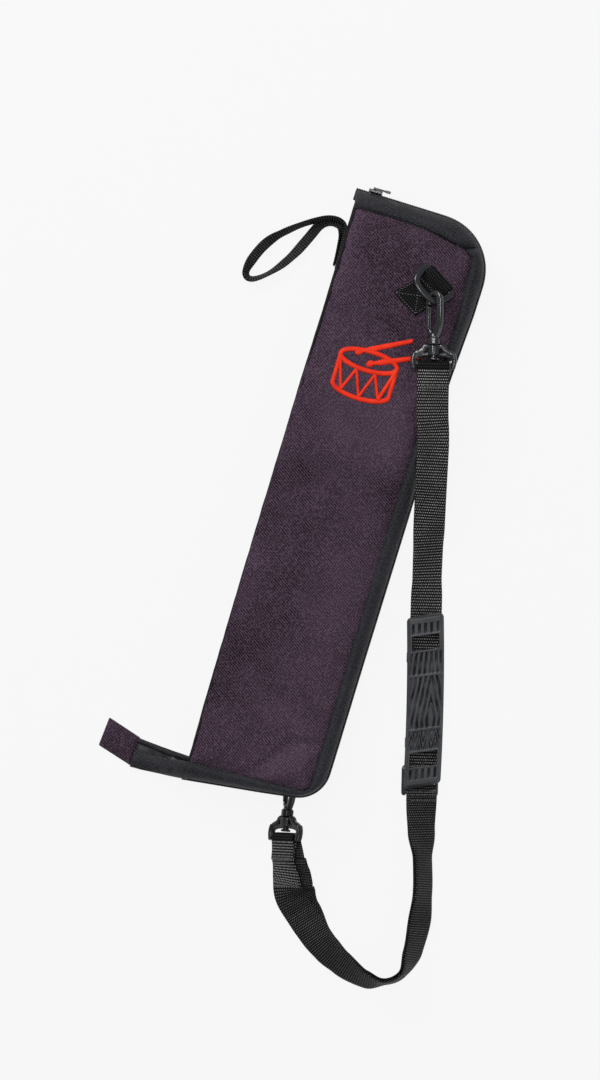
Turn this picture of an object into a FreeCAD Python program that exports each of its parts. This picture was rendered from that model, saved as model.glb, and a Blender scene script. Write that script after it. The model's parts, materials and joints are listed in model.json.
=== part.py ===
import FreeCAD, Part
import math
import os

from FreeCAD import Placement, Rotation, Vector

# A slim zip-round bag for drum sticks, closed and lying on its back.
# Pattern axes while modelling: X across the bag from the spine, Y up along the spine, Z up
# through the thickness. Every sub-part's Placement then moves the origin to the middle of the
# back face. Lengths are millimetres.

doc = FreeCAD.newDocument("stick_bag")

# ---------------------------------------------------------------- driving dimensions

DIMENSIONS = {
    "origin_across": 50,  # middle of the back face, from the spine
    "origin_along": 230,  # and from the lower seam
    "depth": 34,  # outside thickness over both panels
    "skin": 0.8,  # outer fabric
    "foam": 2.6,
    "lining": 0.6,
    "ply_gap": 0.1,  # between the plies of a panel
    "band_ply": 1.4,  # gusset band with its binding
    "zip_half_gap": 0.35,  # from the middle of the zip to each row of teeth
    "tooth_height": 1.7,
    "tooth_depth": 2.4,
    "tape_ply": 0.8,
    "webbing_width": 25,
    "webbing_ply": 1.4,
    "loop_width": 8,
    "loop_ply": 1.6,
    "lift_back": 17,  # how far the snap hook holds the lower end of the back off the ground
    "lift_front": 10,
    "ring_wire": 3.6,
    "ring_half_bar": 15,
    "ring_reach": 18.5,
    "prong_wire": 4.2,
    "prong_half_gap": 6.6,
    "prong_reach": 35.2,
    "stem_wire": 5,
    "frame_half_width": 15,
    "frame_wire": 3.6,
    "frame_bar": 15.5,  # from the collar to the bar that carries the webbing
    "barrel_radius": 5,
    "barrel_bore": 2.8,
    "pad_length": 137,
    "pad_width": 29.5,
    "pad_ply": 5,
    "pad_base": 6.2,
    "slot_length": 12,
    "slot_width": 22,
    "glide_width": 34.8,
    "glide_length": 20,
    "pull_length": 13,
    "pull_width": 5.5,
    "pull_ply": 1.2,
    "badge_radius": 17,
    "badge_ply": 0.6,
}

sizes = doc.addObject("Spreadsheet::Sheet", "sizes")
for row, (alias, value) in enumerate(DIMENSIONS.items(), start=1):
    sizes.set(f"A{row}", alias)
    sizes.set(f"B{row}", str(value))
    sizes.setAlias(f"B{row}", alias)
doc.recompute()


def size(alias):
    return float(sizes.get(alias))


DEPTH = size("depth")
MIDDLE = DEPTH / 2
WEB = size("webbing_width")
UP = Vector(0, 0, 1)

# ---------------------------------------------------------------- shared shapes


def lift_along(y):
    """Share of the lift at y: the lower end is held up and settles to the ground by y = 120."""
    steps = [(20, 1), (45, 0.85), (70, 0.5), (95, 0.15), (120, 0)]
    if y <= steps[0][0]:
        return 1
    for (y0, a), (y1, b) in zip(steps, steps[1:]):
        if y <= y1:
            return a + (b - a) * (y - y0) / (y1 - y0)
    return 0


def lift_across(x):
    """Share of the lift at x: none along the spine, all of it from x = 60 on."""
    return min(max(x / 60, 0), 1)


def back_z(x, y):
    return size("lift_back") * lift_across(x) * lift_along(y)


def front_z(x, y):
    return DEPTH + size("lift_front") * lift_across(x) * lift_along(y)


def zip_z(x, y):
    return (back_z(x, y) + front_z(x, y)) / 2


def rounded(corners, runs, turns):
    """Points along a path of corners (x, y, radius): each run and each arc in equal steps."""
    stops = []
    for i, (x, y, radius) in enumerate(corners):
        here = Vector(x, y, 0)
        if radius == 0:
            stops.append([here])
            continue
        before = (Vector(*corners[i - 1][:2], 0) - here).normalize()
        after = (Vector(*corners[i + 1][:2], 0) - here).normalize()
        half = before.getAngle(after) / 2
        centre = here + (before + after).normalize() * (radius / math.sin(half))
        first = here + before * (radius / math.tan(half))
        sweep = math.pi - 2 * half
        side = 1 if (before.cross(after)).z < 0 else -1
        arc = []
        for k in range(turns + 1):
            turn = Rotation(UP, math.degrees(side * sweep * k / turns))
            arc.append(centre + turn.multVec(first - centre))
        stops.append(arc)
    points = list(stops[0])
    for nxt, count in zip(stops[1:], runs):
        start = points[-1]
        points += [start + (nxt[0] - start) * (k / count) for k in range(1, count)]
        points += nxt
    return points


# Seam between panel and band, and the rim where the zip runs, as matched corners from the
# lower end of the spine round to its upper end.
SEAM = [(0, 2, 0), (96.8, 6.2, 7), (98.4, 240, 0), (103, 350, 0), (103.6, 400, 0), (101.5, 460, 15), (0, 460, 0)]
RIM = [
    (-2.5, -15, 0),
    (109.3, 0.3, 15),
    (111.8, 240, 0),
    (112.6, 350, 0),
    (116.8, 405, 0),
    (117.2, 476.8, 38),
    (-2.5, 476.8, 0),
]
RUNS = [4, 9, 4, 2, 2, 3]
TURNS = 5
seam_points = rounded(SEAM, RUNS, TURNS)
rim_points = rounded(RIM, RUNS, TURNS)


FLAT = 1e-8  # how far four corners may be off one plane


def facets(corners):
    """A flat face on the corners, or two triangles where four corners don't lie in a plane."""
    a, b, c = corners[:3]
    normal = (b - a).cross(c - a)
    if len(corners) > 3 and abs(normal.normalize().dot(corners[3] - a)) > FLAT:
        return facets([a, b, c]) + facets([a, c, corners[3]])
    return [Part.Face(Part.makePolygon([*corners, a]))]


def ruled(sections):
    """A closed solid through matched closed flat polygons."""
    faces = facets_of_end(sections[0]) + facets_of_end(sections[-1])
    for here, there in zip(sections, sections[1:]):
        for k in range(len(here)):
            n = (k + 1) % len(here)
            faces += facets([here[k], here[n], there[n], there[k]])
    solid = Part.Solid(Part.Shell(faces))
    if solid.Volume < 0:
        solid.reverse()
    return solid


def facets_of_end(polygon):
    return [Part.Face(Part.makePolygon([*polygon, polygon[0]]))]


def place(thing, placement=None):
    """Gives a sub-part its Placement: where it lies in the pattern axes, then the new origin."""
    shift = Vector(-size("origin_across"), -size("origin_along"), 0)
    thing.Placement = Placement(shift, Rotation()).multiply(placement or Placement())
    if placement is None:
        thing.setExpression("Placement.Base.x", "-sizes.origin_across")
        thing.setExpression("Placement.Base.y", "-sizes.origin_along")
    return thing


parts = []


def add(thing, label, placement=None):
    thing.Label = label
    parts.append(place(thing, placement))
    return thing


def add_shape(label, shape, placement=None):
    thing = doc.addObject("Part::Feature", label)
    thing.Shape = shape
    return add(thing, label, placement)


# ---------------------------------------------------------------- panels

ACROSS = [-20, 0, 60, 130]
ALONG = [-30, 20, 45, 70, 95, 120, 490]


def slab(label, surface, low, high):
    """A lofted sheet between two heights over a panel surface, wider than the panel."""
    wires = []
    for k, x in enumerate(ACROSS):
        lower = [Vector(x, y, surface(x, y) + low) for y in ALONG]
        upper = [Vector(x, y, surface(x, y) + high) for y in reversed(ALONG)]
        wire = doc.addObject("Part::Feature", f"{label}_profile_{k}")
        wire.Shape = Part.makePolygon([*lower, *upper, lower[0]])
        wires.append(wire)
    loft = doc.addObject("Part::Loft", f"{label}_slab")
    loft.Sections = wires
    loft.Solid = True
    loft.Ruled = True
    return loft


def panel(label, surface, low, high, inset):
    """One ply of a panel: the slab cut to the seam outline, drawn in by inset on all sides."""
    outline = Part.makePolygon([*seam_points, seam_points[0]])
    if inset:
        outline = outline.makeOffset2D(-inset, 2)
    base = doc.addObject("Part::Feature", f"{label}_outline")
    base.Shape = Part.Face(outline)
    prism = doc.addObject("Part::Extrusion", f"{label}_prism")
    prism.Base = base
    prism.DirMode = "Custom"
    prism.Dir = UP
    prism.Solid = True
    prism.LengthRev = 5
    prism.setExpression("LengthFwd", "sizes.depth + sizes.lift_front + 5")
    ply = doc.addObject("Part::MultiCommon", label)
    ply.Shapes = [slab(label, surface, low, high), prism]
    return add(ply, label)


SKIN = size("skin")
FOAM_START = SKIN + size("ply_gap")
FOAM_END = FOAM_START + size("foam")
LINING_START = FOAM_END + size("ply_gap")
LINING_END = LINING_START + size("lining")
FOAM_INSET = 2.2

panel("back_shell", back_z, 0, SKIN, 0)
panel("back_foam", back_z, FOAM_START, FOAM_END, FOAM_INSET)
panel("back_lining", back_z, LINING_START, LINING_END, FOAM_INSET)
panel("front_shell", front_z, -SKIN, 0, 0)
panel("front_foam", front_z, -FOAM_END, -FOAM_START, FOAM_INSET)
panel("front_lining", front_z, -LINING_END, -LINING_START, FOAM_INSET)

# ---------------------------------------------------------------- gusset bands and zip

BAND = size("band_ply")
GAP = size("zip_half_gap")
TOOTH = size("tooth_height")
SEAM_CLEAR = 1.25
SEAM_ALLOWANCE = 1.6


def outward(i):
    """Unit vector square to the rim at a station, away from the bag."""
    ahead = rim_points[min(i + 1, len(rim_points) - 1)]
    behind = rim_points[max(i - 1, 0)]
    along = (ahead - behind).normalize()
    return along.cross(UP)


def band(side):
    """The gusset half on one side: from just under the panel's seam to beside the zip teeth."""
    surface = back_z if side < 0 else front_z
    sections = []
    for s, r in zip(seam_points, rim_points):
        inward = (s - r).normalize()
        near = s + inward * SEAM_ALLOWANCE
        near_z = surface(near.x, near.y) - side * (SKIN + SEAM_CLEAR)
        far = r + inward * 0.3
        far_z = zip_z(r.x, r.y) + side * (GAP + TOOTH + 0.2)
        inner = far + inward * BAND
        sections.append(
            [
                Vector(near.x, near.y, near_z),
                Vector(far.x, far.y, far_z),
                Vector(inner.x, inner.y, far_z + side * 0.3),
                Vector(near.x, near.y, near_z - side * BAND),
            ]
        )
    return ruled(sections)


def strip(side, outer, inner, low, high):
    """A strip along the rim between two depths in from it and two heights off the zip's middle."""
    sections = []
    for i, r in enumerate(rim_points):
        a, b, z = r - outward(i) * outer, r - outward(i) * inner, zip_z(r.x, r.y)
        sections.append([Vector(p.x, p.y, z + side * h) for p, h in ((a, low), (a, high), (b, high), (b, low))])
    return ruled(sections)


TAPE_START, TAPE_END = 1.7, 8.5
for side, half in ((-1, "back"), (1, "front")):
    add_shape(f"{half}_band", band(side))
    tape = strip(side, TAPE_START, TAPE_END, GAP + 0.25, GAP + 0.25 + size("tape_ply"))
    add_shape(f"{half}_zip_tape", tape.cut(Part.makeBox(5.5, 30, 30, Vector(-5, -25, 5))))
    teeth = strip(side, -0.4, size("tooth_depth") - 0.8, GAP, GAP + TOOTH)
    add_shape(f"{half}_zip_teeth", teeth)

# ---------------------------------------------------------------- spine

SPINE_OUT = -4.4
SPINE_PLY = 1.5
SPINE_LOW, SPINE_HIGH = -10, 474


def spine(side):
    """Half of the folded spine: from the panel's edge round to the hinge line at mid height."""
    face = 0 if side < 0 else DEPTH

    def at(x, rise):
        return x, face - side * rise

    hinge_rise = MIDDLE - 0.3
    outline = [
        at(-0.2, 0.15),
        at(-2.6, 1.8),
        at(-4.0, 6),
        at(SPINE_OUT, hinge_rise),
        at(SPINE_OUT + SPINE_PLY, hinge_rise),
        at(-4.0 + SPINE_PLY, 6.4),
        at(-1.4, 2.9),
        at(-0.2, 2.2),
    ]
    ends = [[Vector(x, y, z) for x, z in outline] for y in (SPINE_LOW, SPINE_HIGH)]
    return ruled(ends)


add_shape("spine_back", spine(-1))
add_shape("spine_front", spine(1))

# ---------------------------------------------------------------- pockets inside


def box(x0, x1, y0, y1, z0, z1):
    return Part.makeBox(x1 - x0, y1 - y0, z1 - z0, Vector(x0, y0, z0))


# A pouch for the sticks on the back lining, open at its upper end, over the flat of the panel.
POUCH_X, POUCH_Y, POUCH_Z, POUCH_PLY = (10, 92), (124, 300), (LINING_END + 0.1, 22), 1.2
pouch = box(*POUCH_X, *POUCH_Y, *POUCH_Z).cut(
    box(
        POUCH_X[0] + POUCH_PLY,
        POUCH_X[1] - POUCH_PLY,
        POUCH_Y[0] + POUCH_PLY,
        POUCH_Y[1] + 1,
        POUCH_Z[0] - 1,
        POUCH_Z[1] - POUCH_PLY,
    )
)
add_shape("stick_pouch", pouch)
hem = box(POUCH_X[0], POUCH_X[1], POUCH_Y[1] - 9, POUCH_Y[1] + 0.5, POUCH_Z[1] + 0.1, POUCH_Z[1] + 1)
add_shape("stick_pouch_hem", hem)

# A flat slip pocket on the front lining for a drum key.
SLIP_TOP = DEPTH - LINING_END - 0.1
add_shape("key_pocket", box(18, 84, 330, 410, SLIP_TOP - 1.6, SLIP_TOP))

# ---------------------------------------------------------------- badge and webbing patches


def axes(origin, along, upward):
    """Placement with its X axis along a direction and its Z axis as near upward as that allows."""
    x = Vector(along).normalize()
    y = Vector(upward).cross(x).normalize()
    z = x.cross(y)
    turn = Rotation(x, y, z, "ZXY")
    return Placement(origin, turn)


badge = doc.addObject("Part::Cylinder", "badge")
badge.setExpression("Radius", "sizes.badge_radius")
badge.setExpression("Height", "sizes.badge_ply")
add(badge, "embroidered_badge", Placement(Vector(50.5, 342, DEPTH + 0.1), Rotation()))

WIRE = size("ring_wire")
PLY = 1.2
PATCH_LENGTH = 31
FOLD_RADIUS = WIRE / 2 + 0.3 + PLY


def ring_patch():
    """Folded webbing that holds a ring's bar: X away from the fold, Y along the bar, Z off the panel."""
    edge = -WEB / 2
    bar = Vector(0, edge, PLY + WIRE / 2 + 0.3)
    outline = [Vector(PATCH_LENGTH, edge, 0)]
    for k in range(9):
        turn = math.radians(-90 - 180 * k / 8)
        outline.append(bar + Vector(math.cos(turn), 0, math.sin(turn)) * FOLD_RADIUS)
    outline += [Vector(9, edge, 2 * PLY + 0.1), Vector(PATCH_LENGTH, edge, 2 * PLY)]
    web = Part.Face(Part.makePolygon([*outline, outline[0]])).extrude(Vector(0, WEB, 0))
    bore = Part.makeCylinder(WIRE / 2 + 0.3, WEB + 2, bar + Vector(0, -1, 0), Vector(0, 1, 0))
    return web.cut(bore)


def closed_pipe(corners, fillet, radius):
    """A bar of round section bent into a closed flat loop with filleted corners."""
    count = len(corners)
    arcs = []
    for i, here in enumerate(corners):
        before = (corners[i - 1] - here).normalize()
        after = (corners[(i + 1) % count] - here).normalize()
        half = before.getAngle(after) / 2
        reach = fillet / math.tan(half)
        centre = here + (before + after).normalize() * (fillet / math.sin(half))
        middle = centre + (here - centre).normalize() * fillet
        arcs.append((here + before * reach, middle, here + after * reach))
    edges = []
    for i in range(count):
        first, middle, last = arcs[(i + 1) % count]
        edges.append(Part.LineSegment(arcs[i][2], first).toShape())
        edges.append(Part.Arc(first, middle, last).toShape())
    path = Part.Wire(edges)
    start = arcs[0][2]
    along = (arcs[1][0] - start).normalize()
    section = Part.Wire([Part.makeCircle(radius, start, along)])
    return path.makePipeShell([section], True, False)


def d_ring():
    """A plastic ring: straight bar on Y through the origin, the rest reaching out along X."""
    half, reach = size("ring_half_bar"), size("ring_reach")
    corners = [(0, -half), (5, -half), (reach, -half + 3), (reach, half - 3), (5, half), (0, half)]
    return closed_pipe([Vector(x, y, 0) for x, y in corners], 2.2, WIRE / 2)


# The front ring's fold faces up and right; the ring lies back over its patch.
FRONT_BAR = Vector(81.2, 423.8, 0)
FRONT_REACH = Vector(-0.518, -0.855, 0)
BAR_HEIGHT = PLY + WIRE / 2 + 0.3
HOOK_Z = 44
front_patch = axes(FRONT_BAR + UP * (DEPTH + 0.1), FRONT_REACH, UP)
add_shape("ring_patch_front", ring_patch(), front_patch)
ring_rise = HOOK_Z - (DEPTH + 0.1 + BAR_HEIGHT)
ring_run = math.sqrt(size("ring_reach") ** 2 - ring_rise**2)
ring_direction = FRONT_REACH * ring_run + UP * ring_rise
front_ring = axes(FRONT_BAR + UP * (DEPTH + 0.1 + BAR_HEIGHT), ring_direction, UP)
add_shape("d_ring_front", d_ring(), front_ring)

# ---------------------------------------------------------------- snap hooks
# Hook axes: X from the collar to the crown, Y between the prongs, Z off the hook's plane.

PRONG = size("prong_wire") / 2
HALF = size("prong_half_gap")
CROWN = size("prong_reach")
STEM = size("stem_wire") / 2
GATE_ROOT, GATE_TIP = 13.5, 31


def rod(points, radius):
    """Round bar along straight runs, with a ball at each bend."""
    shape = None
    for a, b in zip(points, points[1:]):
        run = Part.makeCylinder(radius, (b - a).Length, a, b - a)
        shape = run if shape is None else shape.fuse(run)
    for bend in points[1:-1]:
        shape = shape.fuse(Part.makeSphere(radius, bend))
    return shape


def snap_hook():
    """Swivel stem, base, fixed prong and crown; the gate closes the other side."""
    head = Part.makeCylinder(4.6, 3.2, Vector(0.4, 0, 0), Vector(1, 0, 0))
    stem = Part.makeCylinder(2.5, 16, Vector(-10.6, 0, 0), Vector(1, 0, 0))
    stopper = Part.makeCylinder(4, 1.6, Vector(-11.4, 0, 0), Vector(1, 0, 0))
    neck = Part.makeCone(4.2, 3, 6, Vector(3, 0, 0), Vector(1, 0, 0))
    base = rod([Vector(7, 0, 0), Vector(11.5, HALF - 1.2, 0)], PRONG)
    side = rod([Vector(7, 0, 0), Vector(13, -HALF, 0), Vector(CROWN, -HALF, 0)], PRONG)
    crown_path = Part.Arc(Vector(CROWN, -HALF, 0), Vector(CROWN + HALF, 0, 0), Vector(CROWN, HALF, 0))
    section = Part.Wire([Part.makeCircle(PRONG, Vector(CROWN, -HALF, 0), Vector(1, 0, 0))])
    crown = Part.Wire([crown_path.toShape()]).makePipeShell([section], True, False)
    tip = Part.makeCylinder(PRONG, CROWN - GATE_TIP - 0.6, Vector(GATE_TIP + 0.6, HALF, 0), Vector(1, 0, 0))
    shape = head
    for piece in (stem, stopper, neck, base, side, crown, tip):
        shape = shape.fuse(piece)
    slot = box(GATE_ROOT - 4.3, GATE_ROOT + 4, HALF - 3.1, HALF + 4, -1.3, 1.3)
    return shape.cut(slot).removeSplitter()


def gate():
    """Sprung tongue between the base and the tip; its root turns in a slot of the hook's base."""
    tongue = Part.makeCylinder(1.7, GATE_TIP - GATE_ROOT - 0.3, Vector(GATE_ROOT, HALF, 0), Vector(1, 0, 0))
    root = Part.makeCylinder(1.7, 2, Vector(GATE_ROOT, HALF, -1), UP)
    return tongue.fuse(root).removeSplitter()


def strap_frame():
    """Barrel and rectangular loop: the webbing wraps the far bar, centred on X = -frame_bar."""
    half, wire, bar = size("frame_half_width"), size("frame_wire") / 2, size("frame_bar")
    loop = [Vector(-5, -half, 0), Vector(-bar, -half, 0), Vector(-bar, half, 0), Vector(-5, half, 0)]
    frame = closed_pipe(loop, 2.2, wire)
    barrel = Part.makeCylinder(size("barrel_radius"), 7.4, Vector(-7.4, 0, 0), Vector(1, 0, 0))
    bore = Part.makeCylinder(size("barrel_bore"), 12, Vector(-11, 0, 0), Vector(1, 0, 0))
    room = Part.makeCylinder(4.4, 6, Vector(-13.2, 0, 0), Vector(1, 0, 0))
    return frame.fuse(barrel).cut(bore).cut(room).removeSplitter()


FOLD_REACH = 32


def strap_fold():
    """Webbing folded round the frame's bar and stitched to itself."""
    bar, hole = size("frame_bar"), size("frame_wire") / 2 + 0.3
    outer, edge = hole + size("webbing_ply"), -WEB / 2
    rim = []
    for k in range(9):
        turn = math.radians(90 - 180 * k / 8)
        rim.append(Vector(-bar + outer * math.cos(turn), edge, outer * math.sin(turn)))
    outline = [Vector(-FOLD_REACH, edge, 1.5), Vector(-bar - 2, edge, outer), *rim]
    outline += [Vector(-bar - 2, edge, -outer), Vector(-FOLD_REACH, edge, -1.5)]
    web = Part.Face(Part.makePolygon([*outline, outline[0]])).extrude(Vector(0, WEB, 0))
    eye = Part.makeCylinder(hole, WEB + 2, Vector(-bar, edge - 1, 0), Vector(0, 1, 0))
    tip, top, low = (Vector(-bar - run, edge - 1, rise) for run, rise in ((9, 0), (0, hole), (0, -hole)))
    gap = Part.Face(Part.makePolygon([top, tip, low, top])).extrude(Vector(0, WEB + 2, 0))
    return web.cut(eye.fuse(gap))


def hook_set(end, collar, along, hook_roll, frame_roll):
    """Places one end's hook, gate, strap frame and webbing fold about the same axis."""
    hook_place = axes(collar, along, UP).multiply(Placement(Vector(), Rotation(Vector(1, 0, 0), hook_roll)))
    frame_place = axes(collar, along, UP).multiply(Placement(Vector(), Rotation(Vector(1, 0, 0), frame_roll)))
    add_shape(f"snap_hook_{end}", snap_hook(), hook_place)
    add_shape(f"hook_gate_{end}", gate(), hook_place)
    add_shape(f"strap_frame_{end}", strap_frame(), frame_place)
    add_shape(f"strap_fold_{end}", strap_fold(), frame_place)
    return hook_place, frame_place


UPPER_COLLAR = Vector(91.3, 371.8, HOOK_Z)
UPPER_ALONG = Vector(-0.267, 0.9637, 0)
upper_hook, upper_frame = hook_set("upper", UPPER_COLLAR, UPPER_ALONG, -42, 0)

LOWER_COLLAR = Vector(86.7, -19.4, 12.6)
LOWER_ALONG = Vector(-0.182, 0.973, -0.144)
lower_hook, lower_frame = hook_set("lower", LOWER_COLLAR, LOWER_ALONG, -42, -45)

# The back ring hangs from its patch on the underside, its reach pointing down the bag.
catch = lower_hook.multVec(Vector(37, 0, 0))
back_reach = Vector(-LOWER_ALONG.x, -LOWER_ALONG.y, 0).normalize()
bar_run = size("ring_reach") * 0.985
back_bar = Vector(catch.x, catch.y, 0) - back_reach * bar_run
under = back_z(back_bar.x, back_bar.y) - 0.6
slope_run = back_bar + Vector(0, PATCH_LENGTH, 0)
slope = (back_z(slope_run.x, slope_run.y) - back_z(back_bar.x, back_bar.y)) / PATCH_LENGTH
patch_along = Vector(-back_reach.x, -back_reach.y, slope)
back_patch = axes(Vector(back_bar.x, back_bar.y, under), patch_along, -UP)
add_shape("ring_patch_back", ring_patch(), back_patch)
bar_at = back_patch.multVec(Vector(0, 0, BAR_HEIGHT))
back_ring = axes(bar_at, catch - bar_at, UP)
add_shape("d_ring_back", d_ring(), back_ring)

# ---------------------------------------------------------------- webbing


def clamped_curve(poles):
    """Smooth curve drawn by its control points, degree 2, from the first to the last."""
    spans = len(poles) - 2
    knots = [k / spans for k in range(spans + 1)]
    curve = Part.BSplineCurve()
    curve.buildFromPolesMultsKnots(poles, [3] + [1] * (spans - 1) + [3], knots, False, 2)
    return curve


def blend(steps, share):
    """Value at share from (share, value) steps, eased between them."""
    for (s0, a), (s1, b) in zip(steps, steps[1:]):
        if share <= s1:
            t = (share - s0) / (s1 - s0)
            return a + (b - a) * t * t * (3 - 2 * t)
    return steps[-1][1]


GROUND_GAP = 0.4


def webbing(poles, rolls, width, ply, drops, stack, count):
    """Flat webbing along a curve, kept above the ground. rolls turn its right-hand edge up. drops
    say how far this layer lies under the curve, along the webbing's own normal, and stack how far
    the lowest layer does. Returns the solid and the curve's length."""
    curve = clamped_curve(poles)
    length = curve.length()
    sections = []
    for k in range(count + 1):
        u = curve.parameterAtDistance(length * k / count)
        along = curve.tangent(u)[0]
        right = along.cross(UP).normalize()
        top = right.cross(along)
        roll = math.radians(blend(rolls, k / count))
        across = right * math.cos(roll) + top * math.sin(roll)
        normal = top * math.cos(roll) - right * math.sin(roll)
        middle = curve.value(u)
        below = abs(math.sin(roll)) * width / 2 + math.cos(roll) * (stack + ply / 2)
        middle.z = max(middle.z, GROUND_GAP + below)
        middle -= normal * blend(drops, k / count)
        w, h = across * (width / 2), normal * (ply / 2)
        sections.append([middle - w - h, middle + w - h, middle + w + h, middle - w + h])
    return ruled(sections), length


WEB_PLY = size("webbing_ply")
PAD_WEB_Z = 3.9
upper_start = upper_frame.multVec(Vector(-FOLD_REACH - 0.4, 0, 0))
UPPER_ROUTE = [
    upper_start,
    Vector(105.3, 320.5, 43),
    Vector(112, 303, 38),
    Vector(119, 274, 33),
    Vector(127, 243, 21),
    Vector(136, 209, 7.5),
    Vector(143, 183, PAD_WEB_Z),
    Vector(165.7, 99, PAD_WEB_Z),
    Vector(182.6, 37.5, PAD_WEB_Z),
]
FLUSH = [(0, 0), (1, 0)]
UPPER_ROLLS = [(0, 0), (0.18, 0), (0.32, -8), (0.5, 0), (1, 0)]
strap_upper, upper_length = webbing(UPPER_ROUTE, UPPER_ROLLS, WEB, WEB_PLY, FLUSH, 0, 24)
add_shape("strap_upper", strap_upper)

lower_start = lower_frame.multVec(Vector(-FOLD_REACH - 1.6, 0, 0))
LOWER_ROUTE = [
    Vector(183, 36, PAD_WEB_Z),
    Vector(190, 9, 3.9),
    Vector(200, -20, 8),
    Vector(210, -53, 13),
    Vector(216, -90, 14),
    Vector(207, -125, 14.2),
    Vector(186, -137, 13.8),
    Vector(163, -127, 9.5),
    Vector(143, -113, 4),
    Vector(124, -95, 3.4),
    Vector(106, -74, 8),
    Vector(95.8, -59, 16),
    lower_start,
]
LOWER_ROLLS = [(0, 0), (0.06, 0), (0.3, 50), (0.44, 74), (0.52, 88), (0.62, 62), (0.74, 12), (0.86, 4), (1, 45)]
LAYER = WEB_PLY + 1.2
LAYERS = [(0, LAYER), (0.45, LAYER), (0.6, LAYER + 1.2), (0.78, LAYER + 1.2), (0.9, LAYER), (1, LAYER)]
strap_lower, lower_length = webbing(LOWER_ROUTE, LOWER_ROLLS, WEB, WEB_PLY, FLUSH, LAYER, 64)
add_shape("strap_lower", strap_lower)
strap_return, return_length = webbing(LOWER_ROUTE, LOWER_ROLLS, WEB, WEB_PLY, LAYERS, LAYER, 64)
add_shape("strap_return", strap_return)

# Wrist loop of narrow webbing, sewn into the upper spine and lying flat beside it.
LOOP_ROUTE = [
    Vector(-7.8, 434, 7.5),
    Vector(-12, 448, 7),
    Vector(-25, 449, 5.2),
    Vector(-42, 436, 5),
    Vector(-60, 414, 5),
    Vector(-71, 393, 5),
    Vector(-67, 378, 5),
    Vector(-54, 388, 4.6),
    Vector(-36, 411, 3),
    Vector(-22, 437, 2),
    Vector(-11, 438, 3),
    Vector(-7.8, 421, 6.5),
]
LOOP_ROLLS = [(0, 86), (0.12, 40), (0.3, 10), (0.5, 30), (0.65, 10), (0.85, 20), (1, 86)]
wrist_loop, loop_length = webbing(LOOP_ROUTE, LOOP_ROLLS, size("loop_width"), size("loop_ply"), FLUSH, 0, 30)
add_shape("wrist_loop", wrist_loop)
add_shape("wrist_loop_tab", box(-6.5, -4.7, 412, 442, 3, 12.5))

# ---------------------------------------------------------------- pad and slide adjuster

STRAP_ALONG = Vector(0.2634, -0.9647, 0)
PAD_MIDDLE = Vector(165.7, 99.1, 0)
pad_place = axes(PAD_MIDDLE, STRAP_ALONG, UP)


def sketch_rectangle(sketch, x0, x1, y0, y1):
    corners = [Vector(x0, y0, 0), Vector(x1, y0, 0), Vector(x1, y1, 0), Vector(x0, y1, 0)]
    for a, b in zip(corners, corners[1:] + corners[:1]):
        sketch.addGeometry(Part.LineSegment(a, b), False)


def xy_sketch(body, name, height):
    """A sketch on the body's XY plane, raised by height."""
    plane = next(f for f in body.Origin.OriginFeatures if f.Role == "XY_Plane")
    sketch = body.newObject("Sketcher::SketchObject", name)
    sketch.AttachmentSupport = [(plane, "")]
    sketch.MapMode = "FlatFace"
    sketch.AttachmentOffset = Placement(Vector(0, 0, height), Rotation())
    return sketch


def pad_up(body, sketch, name, length):
    """Pads the sketch upward by an expression on the sheet."""
    feature = body.newObject("PartDesign::Pad", name)
    feature.Profile = sketch
    feature.setExpression("Length", length)
    doc.recompute()
    return feature


# The pad is a rubber plate with a window near each end; two keepers below hold the webbing.
pad = doc.addObject("PartDesign::Body", "pad")
plate = xy_sketch(pad, "pad_plate", size("pad_base"))
half_length, half_width = size("pad_length") / 2, size("pad_width") / 2
sketch_rectangle(plate, -half_length, half_length, -half_width, half_width)
window_centre = half_length - 22
half_slot, half_opening = size("slot_length") / 2, size("slot_width") / 2
for end in (-1, 1):
    middle = end * window_centre
    sketch_rectangle(plate, middle - half_slot, middle + half_slot, -half_opening, half_opening)
pad_up(pad, plate, "pad_plate_pad", "sizes.pad_ply")
KEEPER_AT, KEEPER_HALF = 34, 4
for number, middle in enumerate((-KEEPER_AT, KEEPER_AT)):
    span = (middle - KEEPER_HALF, middle + KEEPER_HALF)
    walls = xy_sketch(pad, f"keeper_walls_{number}", 0.4)
    sketch_rectangle(walls, *span, WEB / 2 + 0.8, half_width)
    sketch_rectangle(walls, *span, -half_width, -WEB / 2 - 0.8)
    pad_up(pad, walls, f"keeper_walls_pad_{number}", "sizes.pad_base - 0.4")
    floor = xy_sketch(pad, f"keeper_floor_{number}", 0.4)
    sketch_rectangle(floor, *span, -half_width, half_width)
    pad_up(pad, floor, f"keeper_floor_pad_{number}", "0.8 mm")
add(pad, "shoulder_pad", pad_place)

# Slide adjuster: two side rails, end bars over the webbing and a middle bar under it.
GLIDE_MIDDLE, GLIDE_OFF = 60.5, -1.8  # along the pad from its middle, and to its spine side
rail, half_glide, half_rail = 2.4, size("glide_length") / 2, size("glide_width") / 2
glide = None
for x0, x1, y0, y1, z0, z1 in (
    (-half_glide, half_glide, half_rail - rail, half_rail, 0.5, 5.8),
    (-half_glide, half_glide, -half_rail, rail - half_rail, 0.5, 5.8),
    (-half_glide, 3.2 - half_glide, -half_rail, half_rail, 5.0, 5.8),
    (half_glide - 3.2, half_glide, -half_rail, half_rail, 5.0, 5.8),
    (-1.8, 1.8, -half_rail, half_rail, 0.5, 2.4),
):
    piece = box(x0, x1, y0, y1, z0, z1)
    glide = piece if glide is None else glide.fuse(piece)
glide_place = axes(PAD_MIDDLE + STRAP_ALONG * GLIDE_MIDDLE, STRAP_ALONG, UP)
glide_place = glide_place.multiply(Placement(Vector(0, GLIDE_OFF, 0), Rotation()))
add_shape("slide_adjuster", glide.removeSplitter(), glide_place)

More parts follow.
